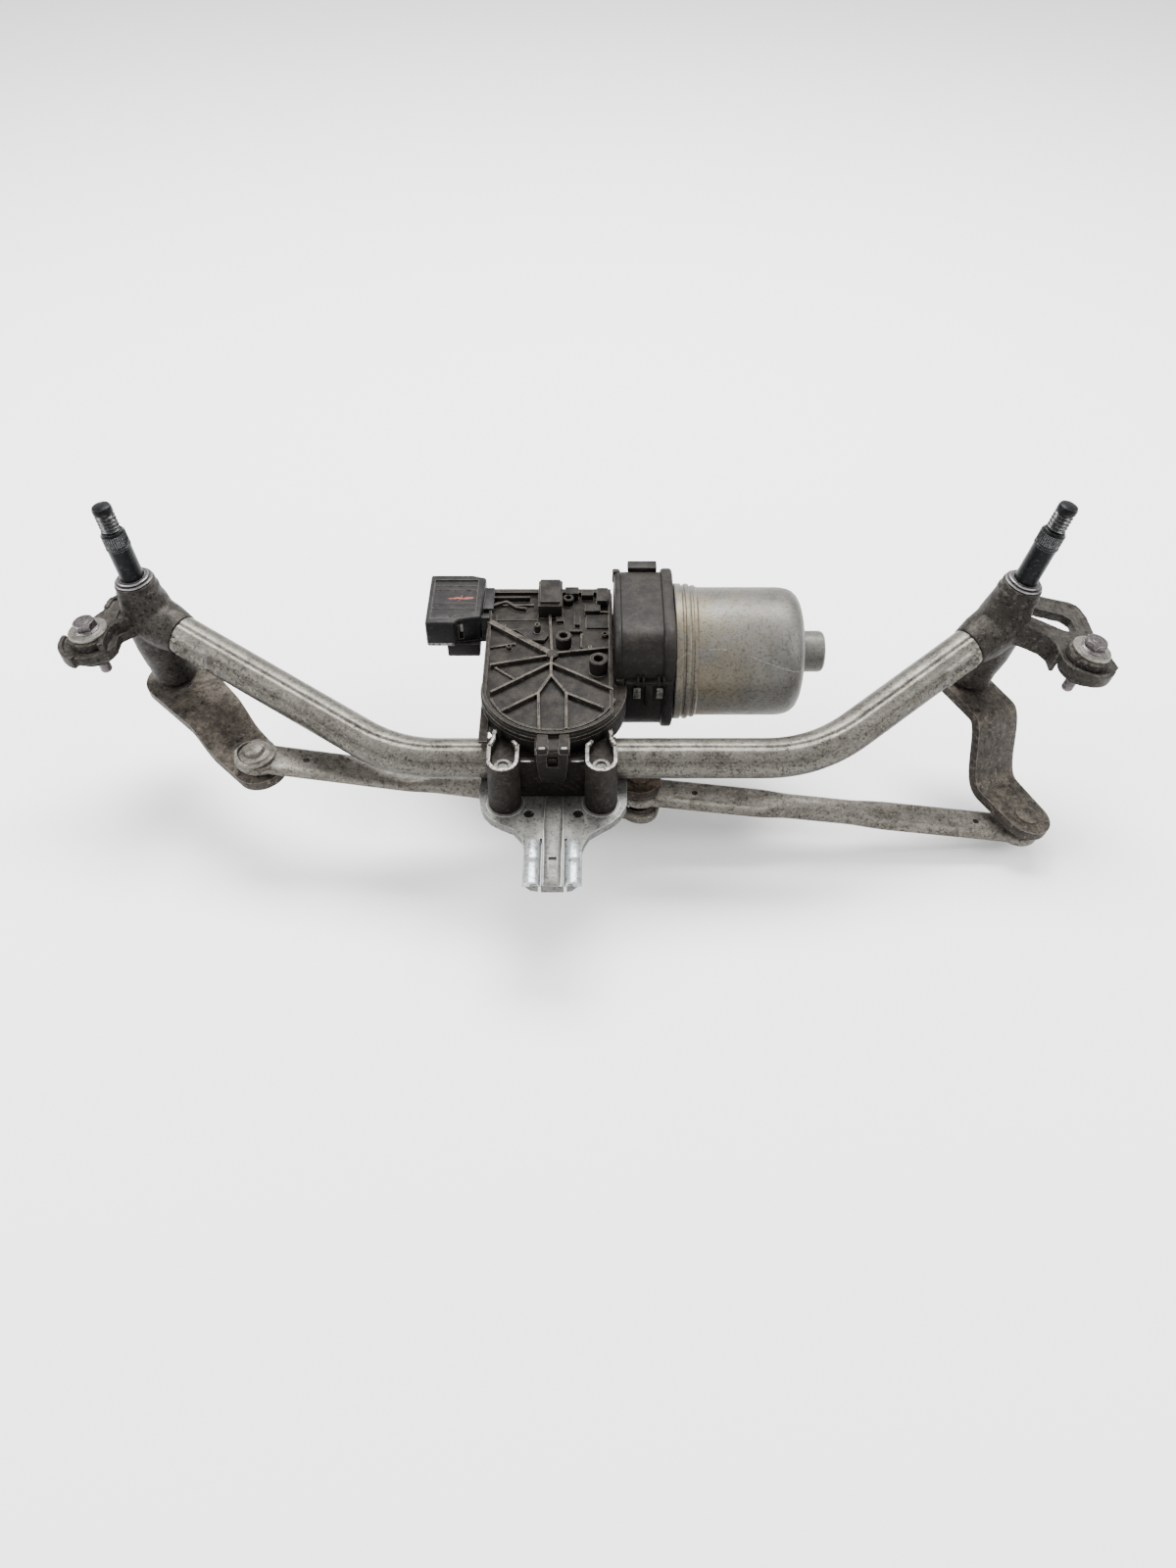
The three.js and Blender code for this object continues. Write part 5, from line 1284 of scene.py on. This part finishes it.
hand_over(bright_rims(), DRIVE, "frame_group", RUBBED_CAST)
hand_over(case_tray(), DRIVE, "frame_group", CASE_GRIME, ["gear_case"], sharp=34)
hand_over(boss_block(), DRIVE, "frame_group", BOSS_GRIME, sharp=55)
for name, (x, y) in zip(("left", "right"), BOSSES):
    screw = joined(f"{name}_boss_screw", turned("head", [
        (0, 14), (4.6, 14), (4.6, 26.6), (4.2, 27.2), (2.6, 27.3), (2.3, 26.2), (0, 26.2)], 40))
    hand_over(moved(screw, Matrix.Translation((x, y, 0))), DRIVE, "frame_group", DULL_MARK)
print("gear case done")

# %% [markdown]
# ## Gear cover
# The cover is moulded plastic with a web of thin ribs that meet at two hubs. The ribs are
# a list of edges, so a node tree turns each edge into a rectangular bar and sets the bars down
# at one height. Around them come the sunk field, the rim, two hollow posts and the latch.

# %% Tree: bars along edges
def rib_tree():
    tree, sockets, given, output = node_tree("Bars along edges", [
        ("Geometry", "NodeSocketGeometry", None), ("Width", "NodeSocketFloat", 1.6),
        ("Height", "NodeSocketFloat", 3.0), ("Material", "NodeSocketMaterial", None)])
    add, link = tree.nodes.new, tree.links.new
    curve = add("GeometryNodeMeshToCurve")
    link(given.outputs["Geometry"], curve.inputs["Mesh"])
    section = add("GeometryNodeCurvePrimitiveQuadrilateral")
    link(given.outputs["Height"], section.inputs["Height"])
    link(given.outputs["Width"], section.inputs["Width"])
    section.mode = "RECTANGLE"
    swept = sweep_along(tree, curve.outputs["Curve"], section.outputs["Curve"])
    finish_tree(tree, given, swept, output)
    return tree, sockets


RIBS = rib_tree()


def ribs(name, segments, height, width, tall, finish):
    points = [(x, y, height) for segment in segments for x, y in segment]
    edges = [(2 * i, 2 * i + 1) for i in range(len(segments))]
    mesh = bpy.data.meshes.new(name)
    mesh.from_pydata(points, edges, [])
    made = grown(name, *RIBS, {"Width": width, "Height": tall, "Material": finish}, mesh)
    low = min(v.co.z for v in made.data.vertices)
    high = max(v.co.z for v in made.data.vertices)
    assert abs(high - low - tall) < 0.1, "bars stand on edge"
    data = bmesh.new()
    data.from_mesh(made.data)
    bmesh.ops.recalc_face_normals(data, faces=data.faces)
    data.to_mesh(made.data)
    data.free()
    return bevelled(made, 0.3, 2)


HUB, STAR, KNEE = (-1.1, 23.5), (-1.6, 16.1), (-1.4, 6.7)
LEFT_FORK, RIGHT_FORK = (-7.5, -7.2), (6.6, -7.2)
THIN_RIBS = [((-33, 14.6), (-3.9, 21.7)), (STAR, (-31.8, -6.7)), (STAR, (30.2, -4.5)),
             ((0, 23.9), (28.1, 28.2)), ((-3.4, 62.8), (-1.5, 28.5)), ((-1.5, 28.5), HUB),
             (KNEE, LEFT_FORK), (LEFT_FORK, (-25.2, -20.2)), (LEFT_FORK, (-6.4, -34.3)),
             (KNEE, RIGHT_FORK), (RIGHT_FORK, (25.1, -18.1)), (RIGHT_FORK, (6.9, -33.3)),
             (STAR, KNEE), (HUB, STAR)]
WIDE_RIBS = [((-35.5, 50.3), (-2.5, 24.2))]
FAINT_RIBS = [((-33.8, 30.2), (-20.8, 33.1)), ((-30.4, 13.9), (-20.3, 5.1)),
              ((-34, 66), (-12, 66)), ((14, 44), (14, 30)), ((21, 60), (29, 60))]
cover_ribs = joined("gear_cover_ribs", ribs("thin", THIN_RIBS, 37.2, 1.3, 3.0, COVER_PLASTIC),
                    ribs("wide", WIDE_RIBS, 37.2, 3.0, 3.2, COVER_PLASTIC),
                    ribs("faint", FAINT_RIBS, 36.4, 1.1, 1.6, COVER_PLASTIC))
hand_over(cover_ribs, DRIVE, "frame_group", RIB_PLASTIC, sharp=40)
print("rib faces:", len(cover_ribs.data.polygons))

# %% Mould the cover, its posts and its latches
def rounded_block(low, high, radius=0.8, segments=2):
    return bevelled(block("block", low, high), radius, segments)


def post(x, y, radius, hole, top, base=34):
    pipe = turned("post", [(hole, base), (radius, base), (radius, top - 0.5), (radius - 0.5, top),
                           (hole + 0.3, top), (hole, top - 0.3), (hole, top - 6), (0, top - 6.2),
                           (0, base + 0.1)], 48)
    return moved(pipe, Matrix.Translation((x, y, 0)))


COVER_BLOCKS = [
    ((-9.4, 55.8, 34), (3.6, 78.4, 44.2)), ((-8.4, 57.0, 44), (2.6, 77.0, 46.2)),
    ((-31.7, 52.8, 35), (-9.8, 58.9, 36.9)), ((5, 70.5, 35), (12.5, 76.5, 41.5)),
    ((13.8, 71.2, 35), (20.6, 76.0, 39.8)), ((22.2, 64.5, 35), (28.4, 76.2, 41.2)),
    ((15.8, 58.4, 35), (24.2, 64.2, 39.0)), ((7.6, 41.4, 35), (14.6, 43.6, 38.6)),
    ((0.4, 50.8, 35), (4.6, 54.6, 38.2)), ((10.2, 47.5, 35), (13.2, 58.2, 38.4)),
    ((-33.8, 70.0, 35), (-14.0, 71.4, 39.0)), ((16.4, 46, 35), (29.0, 56.5, 37.4)),
]


def cover():
    plate = bevelled(extruded("plate", case_outline(0.5), 33.6, 35.9), 0.4, 2)
    rim = wall_along("rim", case_outline(1.4) + case_outline(1.4)[:2], 1.7, 34.6, 38.0)
    inner_rim = wall_along("inner rim", arc(0, 0, 32.6, -162, -18, 70), 0.9, 35, 36.9)
    back_rim = wall_along("back rim", [(-36, 76.2), (26, 76.2)], 1.6, 34.6, 38.4)
    parts = [plate, bevelled(rim, 0.4, 2), inner_rim, back_rim,
             turned("hub", [(0, 34), (3.4, 34), (3.2, 38.4), (2.4, 38.9), (0, 38.9)], 36)]
    moved(parts[-1], Matrix.Translation((*HUB, 0)))
    parts += [post(4.7, 32.2, 4.2, 2.3, 43.5), post(22.9, 12.4, 4.8, 2.6, 44.5),
              post(-9.2, 40.6, 1.7, 0.7, 44.0), post(6.8, 68.5, 3.0, 1.6, 40.4)]
    gusset = [(-26.4, 43), (-20.4, 41.9), (-12.7, 33.7), (-5.3, 33.7), (-3.2, 38.4), (-9, 44)]
    parts.append(bevelled(extruded("gusset", gusset, 34, 38.9), 0.5, 2))
    for low, high in COVER_BLOCKS:
        parts.append(rounded_block(low, high, 0.6))
    wave = [(-36.0, 62.4), (-31.3, 65.5), (-26.8, 67.3), (-21.3, 62.4), (-15.9, 61.2)]
    parts.append(wall_along("spring", wave, 1.3, 35, 38.6))
    for x, y, r in ((-24, 30, 1.6), (26.5, 40, 1.9), (18.6, 28.9, 1.2), (-27.5, 46.5, 1.5)):
        parts.append(post(x, y, r, r * 0.5, 38.4))
    return joined("gear_cover_plate", *parts)


def front_latch():
    """Forked tongue that snaps over the front wall between the bosses."""
    stations = [(5.4, -46.0, 13.5), (6.6, -46.2, 17), (7.6, -46.4, 26), (7.8, -46.4, 33.0),
                (7.8, -45.4, 36.0)]           # half width, front face, height
    tongue = rings("tongue", [[(-h, y, z), (h, y, z), (h, y + 2.6, z), (-h, y + 2.6, z)]
                              for h, y, z in stations])
    window = block("window", (-2.6, -50, 24.4), (2.9, -40, 31.5))
    slot = block("slot", (-1.6, -50, 33.6), (3.2, -40, 40))
    tongue = bevelled(cut(tongue, window, slot), 0.5, 2)
    parts = [tongue, rounded_block((-8.6, -45.2, 30.6), (8.8, -35.0, 35.2)),
             rounded_block((-7.6, -46.6, 33), (-2.0, -36.0, 37.4)),
             rounded_block((3.4, -46.6, 33), (8.4, -36.0, 37.4)),
             rounded_block((-1.8, -44.0, 24.4), (2.0, -43.4, 27.6), 0.2)]
    return joined("front_latch", *parts)


hand_over(cover(), DRIVE, "frame_group", COVER_PLASTIC, ["gear_cover"], sharp=32)
hand_over(front_latch(), DRIVE, "frame_group", COVER_PLASTIC, sharp=32)
tips = joined("latch_tips", rounded_block((-6.4, -46.8, 36.9), (-3.2, -45.4, 37.6), 0.3),
              rounded_block((4.6, -46.8, 36.9), (7.4, -45.4, 37.6), 0.3))
hand_over(tips, DRIVE, "frame_group", PALE_MARK)
print("cover done")

# %% [markdown]
# ## Plug socket
# The wiring plug pushes into a shrouded socket at the left. Its top has a sunk panel with
# a stroke of red inspection paint, which is a thin wavy skin rather than a picture.

# %% Mould the plug socket
SOCKET_LOW, SOCKET_HIGH = 26.6, 42.6


def plug_socket():
    outline = [(-69, 43.2), (-53.6, 43.2), (-51.5, 46.5), (-39.6, 48.6), (-38.4, 83.2),
               (-46, 85.6), (-69, 85.6)]
    shell = bevelled(extruded("shell", outline, SOCKET_LOW, SOCKET_HIGH), 1.2, 3)
    mouth = block("mouth", (-73, 46.0, SOCKET_LOW + 2.6), (-49.4, 82.8, SOCKET_HIGH - 3.6))
    panel = extruded("panel", [(-66.4, 47.4), (-55, 47.4), (-53, 50.4), (-42.6, 51.8),
                               (-42.6, 81), (-66.4, 81)], SOCKET_HIGH - 1.0, SOCKET_HIGH + 2)
    shell = cut(shell, mouth, panel)
    parts = [shell, rounded_block((-58.5, 44.5, 18.5), (-41, 57, 27.2)),
             rounded_block((-44, 50, 24), (-34, 81, 36.4)),
             rounded_block((-41.2, 60, 34), (-33.5, 79, 39.2)),
             rounded_block((-39.6, 49.6, 33), (-35.2, 52.2, 41.2), 0.4)]
    for y in (56.5, 60.5, 72.4, 76.4):
        parts.append(rounded_block((-66.0, y, SOCKET_HIGH - 1.4),
                                   (-43.2, y + 0.9, SOCKET_HIGH - 0.5), 0.2))
    parts.append(rounded_block((-65.6, 47.6, SOCKET_HIGH - 1.5),
                               (-57, 53.5, SOCKET_HIGH - 0.2), 0.4))
    return joined("plug_socket", *parts)


def paint_stroke(name, start, end, half, height):
    """Thin brush stroke with uneven sides and a tail."""
    (x0, y0), (x1, y1) = start, end
    loops = []
    for k in range(25):
        t = k / 24
        x, y = x0 + (x1 - x0) * t, y0 + (y1 - y0) * t
        uneven = 0.75 + 0.45 * noise.noise(Vector((k * 0.31, 0.4, 0)))
        wide = half * uneven * min(1, 8 * t, 6 * (1 - t) + 0.25)
        y += 0.7 * noise.noise(Vector((k * 0.17, 2.1, 0)))
        loops.append([(x, y - wide, height), (x, y + wide, height),
                      (x, y + wide * 0.6, height + 0.14), (x, y - wide * 0.6, height + 0.14)])
    return rings(name, loops)


hand_over(plug_socket(), DRIVE, "frame_group", SOCKET_PLASTIC, sharp=32)
stroke = joined("red_paint_stroke",
                paint_stroke("main", (-58.6, 65.6), (-44.4, 66.2), 0.9, SOCKET_HIGH - 1.0),
                paint_stroke("dab", (-52.6, 63.0), (-50.6, 68.6), 0.7, SOCKET_HIGH - 1.0))
hand_over(stroke, DRIVE, "frame_group", RED_PAINT)
# A pale strip along the socket's lower front edge: a painted highlight, standing in for light
# glancing off that edge.
edge_highlight_strip = rounded_block((-68.4, 42.9, 27.2), (-54.4, 44.0, 29.0), 0.3)
edge_highlight_strip.name = "socket_edge_highlight"
hand_over(edge_highlight_strip, DRIVE, "frame_group", PALE_MARK)
print("plug socket done")

# %% [markdown]
# ## Motor neck and can
# The neck is a rounded square tunnel between the gearbox and the can, carried as rings
# along the motor's axis. The can is a drawn steel cup: one long turned profile with two
# rolled beads at its mouth, a domed end and the nub for the rear bearing.

# %% Mould the neck and draw the can
MOTOR_Y, MOTOR_Z = 39, 26.8                   # height and depth of the motor's axis
MOTOR = Matrix.Translation((0, MOTOR_Y, MOTOR_Z)) @ Matrix.Rotation(math.pi / 2, 4, "Y")


def neck_section(x, half, radii):
    """Rounded square about the motor axis, top back corner first."""
    loop = []
    for k, radius in enumerate(radii):
        cy = (1 if k in (0, 3) else -1) * (half - radius)
        cz = (1 if k < 2 else -1) * (half - radius)
        turns = [math.radians(90 * k + 90 * i / 14) for i in range(15)]
        loop += [(x, MOTOR_Y + cy + radius * math.cos(a), MOTOR_Z + cz + radius * math.sin(a))
                 for a in turns]
    return loop


NECK_BLOCKS = [
    ((38.5, 66, 58.5), (54.0, 72.5, 61.6)), ((31.8, 2.6, 20.5), (36.2, 6.0, 37.5)),
    ((57.2, 2.6, 19.0), (61.0, 6.0, 37.0)), ((46.8, 2.2, 19.4), (50.6, 5.6, 36.0)),
    ((36.6, 2.2, 34.4), (60.5, 5.4, 36.6)), ((30.4, 62.0, 54.5), (33.8, 65.0, 62.0)),
]


def neck():
    radii = (14, 14, 24, 24)
    stations = [(31.2, 33.2), (31.6, 34.2), (33.0, 34.9), (34.2, 34.9), (34.8, 34.0), (55.6, 34.0),
                (56.2, 35.0), (57.2, 35.4), (60.6, 35.4), (61.6, 35.0), (62.0, 34.0)]
    parts = [rings("tunnel", [neck_section(x, half, radii) for x, half in stations])]
    for low, high in NECK_BLOCKS:
        parts.append(rounded_block(low, high, 0.6))
    for x in (42.4, 45.2, 53.0, 55.6):
        parts.append(rounded_block((x, 1.8, 34.0), (x + 1.2, 4.4, 39.4), 0.25))
    return joined("motor_neck_moulding", *parts)


CAN = [(0, 62.6), (31, 62.6), (33, 62.3), (35.6, 62.3), (36.0, 62.8), (36.0, 65.8), (35.6, 66.3),
       (35.0, 66.6), (35.0, 67.4), (35.7, 67.9), (35.9, 68.6), (35.9, 69.6), (35.6, 70.2),
       (34.7, 70.7), (34.7, 71.6), (35.1, 72.1), (35.1, 73.3), (34.6, 73.9), (34.2, 74.2),
       (34.0, 75.5), (34.0, 116.5), (33.8, 119.5), (33.2, 122.4), (32.0, 125.0), (30.0, 127.2),
       (27.0, 128.8), (24.0, 129.6), (13.2, 130.2), (12.0, 130.6), (11.2, 131.6), (11.0, 133),
       (11.0, 140.4), (10.6, 142.0), (9.4, 143.0), (8.0, 143.3), (4.2, 143.3), (3.6, 142.8),
       (0, 142.8)]
can = moved(turned("motor_can_shell", CAN, 144), MOTOR)
BEADS = range(4, 20)                          # profile points of the rolled mouth
mark_stains_and_shade(can, [1.0 if i // 144 in BEADS else 0.0 for i in range(len(can.data.vertices))])
hand_over(can, DRIVE, "frame_group", CAN_PAINT, ["motor_can"], sharp=28)
hand_over(neck(), DRIVE, "frame_group", NECK_PLASTIC, ["motor_neck"], sharp=32)
windows = joined("neck_clip_windows", rounded_block((40.8, 2.9, 25.0), (44.6, 4.0, 32.0), 0.3),
                 rounded_block((52.6, 2.9, 25.0), (56.0, 4.0, 32.0), 0.3))
hand_over(windows, DRIVE, "frame_group", DULL_MARK)
print("motor done")

# %% [markdown]
# ## Centre bracket
# Bright zinc-plated sheet under the case, with a tongue to the front. The tongue has a
# raised middle rib and two curled edges that hold the body's bracket.

# %% Press the centre bracket
PLATE = [(37.5, -34.5), (36.8, -49.2), (33.4, -56), (29.1, -60.5), (24, -64), (18.2, -68.5),
         (16.0, -73), (14.2, -79), (13.6, -97), (10, -100.4), (6.5, -101.2), (-4.2, -101.2),
         (-10, -100.2), (-13.6, -97.1), (-13.5, -81.1), (-14.6, -71.4), (-19.3, -65),
         (-25.6, -61.8), (-30.8, -58.4), (-34.6, -53.6), (-36.6, -48.2), (-38, -38.8),
         (-36, -20), *arc(0, 0, 26, 200, -20, 30), (36, -20)]


def bracket():
    plate = extruded("plate", PLATE, -4.6, 0)
    cutters = [moved(turned("hole", [(0, -9), (2.7, -9), (2.7, 9), (0, 9)], 32),
                     Matrix.Translation((x, -54.6, 0))) for x in (-12, 12.5)]
    cutters += [block("slit", (x0, -102.5, -9), (x1, -71, 9))
                for x0, x1 in ((-6.2, -4.9), (6.0, 7.3))]
    cutters.append(block("square mark", (-1.6, -91, -0.2), (2.4, -84.6, 9)))
    cutters.append(turned("shaft hole", [(0, -9), (13, -9), (13, 9), (0, 9)], 48))
    plate = bevelled(cut(plate, *cutters), 0.9, 3)
    section = [(1, 0), (0.86, 0.72), (0.55, 1), (-0.55, 1), (-0.86, 0.72), (-1, 0)]
    ridge = []
    for k in range(29):
        t = k / 28
        y = -44 - 57 * t
        half = 4.4 + 0.5 * math.sin(math.pi * min(1, t * 1.6))
        top = 2.1 * min(1, 5 * t + 0.2, 7 * (1 - t) + 0.35)
        ridge.append([(0.4 + half * c, y, -0.6 + (top + 0.6) * s) for c, s in section])
    rib = cut(rings("rib", ridge), block("square mark", (-1.6, -91, 0.6), (2.4, -84.6, 9)))
    parts = [plate, bevelled(rib, 0.5, 2)]
    for x, y in ((-24, -47.5), (24, -47.5)):
        pad = turned("pad", [(0, -2), (9.6, -2), (9.4, 0.1), (8.9, 0.3), (0, 0.3)], 48)
        parts.append(moved(pad, Matrix.Translation((x, y, 0))))
    return joined("centre_bracket_plate", *parts)


def hole_shade_plugs():
    """Dark plugs that fill the two small holes almost to the top: painted shade, not dirt."""
    plugs = []
    for x in (-12, 12.5):
        plug = turned("plug", [(0, -4.4), (2.9, -4.4), (2.8, -1.0), (1.8, -1.6), (0, -1.4)], 24)
        plugs.append(moved(plug, Matrix.Translation((x, -54.6, 0))))
    return joined("hole_shade_plugs", *plugs)


def curled_edge(side):
    """Rolled tab at one side of the tongue, arched in the middle."""
    middle = 0.4 + side * 10.0
    loops = []
    for k in range(25):
        t = k / 24
        y = -72 - 28 * t
        swell = 3.0 + 0.7 * math.sin(math.pi * t) - 0.7 * bump_at(t - 0.42, 0.08)
        loops.append([(middle + 4.3 * math.cos(a), y, -1.9 + swell * math.sin(a))
                      for a in (math.radians(v) for v in range(0, 181, 15))])
    return bevelled(rings("curl", loops), 0.3, 2, 40)


hand_over(bracket(), DRIVE, "frame_group", PLATE_ZINC, ["centre_bracket"], sharp=35)
# The dark plugs paint shade into the two holes, so they read dark over the pale floor.
hand_over(hole_shade_plugs(), DRIVE, "frame_group", HOLE_SHADE)
hand_over(joined("tongue_curls", curled_edge(-1), curled_edge(1)), DRIVE, "frame_group",
          BRIGHT_ZINC, sharp=35)
print("bracket done; pieces:", len(PIECES))

# %% [markdown]
# ## Inner and small parts
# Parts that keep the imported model's own mesh still get a real finish, because a cutaway or
# an exploded view shows them: sintered bronze, copper, ferrite, acetal gears, the board.

# %% Finish the carried-over nodes
def plain_kind(name, tones, metal, rough, **rest):
    return worn(name, tones, metal, rough, dust_amount=0.08, speck_amount=0.15, bump=0.1, **rest)


BRONZE = plain_kind("sintered bronze", ((0.55, 0.36, 0.16), (0.42, 0.27, 0.12)), 0.8,
                    (0.35, 0.55), cloud_scale=260)
WIRE = plain_kind("varnished copper wire", ((0.66, 0.28, 0.12), (0.5, 0.2, 0.08)), 0.85,
                  (0.25, 0.4), cloud_scale=300)
COMMUTATOR = plain_kind("commutator copper", ((0.72, 0.36, 0.2), (0.5, 0.26, 0.14)), 0.9,
                        (0.25, 0.45), cloud_scale=320)
FERRITE = plain_kind("ferrite magnet", ((0.09, 0.09, 0.1), (0.06, 0.06, 0.065)), 0.1,
                     (0.5, 0.7))
LAMINATION = plain_kind("rotor laminations", ((0.34, 0.34, 0.36), (0.22, 0.22, 0.24)), 0.8,
                        (0.35, 0.55), streak=((0.1, 0.1, 0.11), 0.5, (12, 0.6, 0.6)))
ACETAL = plain_kind("acetal gear", ((0.75, 0.72, 0.62), (0.66, 0.62, 0.52)), 0.0, (0.35, 0.5))
HOLDER = plain_kind("brush holder nylon", ((0.12, 0.11, 0.1), (0.08, 0.07, 0.065)), 0.0,
                    (0.4, 0.6))
CARBON = plain_kind("carbon brush", ((0.05, 0.05, 0.055), (0.03, 0.03, 0.034)), 0.2,
                    (0.45, 0.65))
TINNED = plain_kind("tinned blades", ((0.6, 0.58, 0.54), (0.45, 0.43, 0.4)), 0.9, (0.25, 0.4))
BOARD = plain_kind("green circuit board", ((0.04, 0.24, 0.1), (0.03, 0.16, 0.07)), 0.0,
                   (0.35, 0.5), streak=((0.5, 0.35, 0.12), 0.4, (9, 2, 1)))
INNER = [
    (["left_upper_bush", "left_lower_bush", "right_upper_bush", "right_lower_bush",
      "output_bush", "rear_bush"], "bronze", BRONZE),
    (["windings"], "copper", WIRE),
    (["commutator"], "copper", COMMUTATOR),
    (["magnet_front", "magnet_back"], "ferrite", FERRITE),
    (["rotor_core"], "lamination", LAMINATION),
    (["armature_shaft", "shaft_bearing", "output_shaft"], "bright_steel", BRIGHT_STEEL),
    (["left_ball_stud", "right_ball_stud", "left_sleeve", "right_sleeve"],
     "bright_steel", BRIGHT_STEEL),
    (["crank_nut", "case_screw_left", "case_screw_right"], "bright_steel", BOLT_STEEL),
    (["crank_arm"], "arm_steel", CRANK_GRIME),
    (["crank_pin"], "bright_steel", CRANK_GRIME),
    (["worm_wheel"], "acetal", ACETAL),
    (["brush_plate"], "nylon", HOLDER),
    (["brush_upper", "brush_lower"], "carbon", CARBON),
    (["cover_gasket"], "rubber", RUBBER),
    (["connector_pins"], "copper", TINNED),
    (["control_board"], "board", BOARD),
]
finished = 0
for names, slot, finish in INNER:
    for name in names:
        node = frame["nodes"][name]
        for index in range(len(node.data.materials)):
            node.data.materials[index] = finish
        finished += 1
print("carried-over nodes finished:", finished)

# %% Print the CAD box
print("CAD box:", [[round(v, 4) for v in p] for p in CAD_BOX])
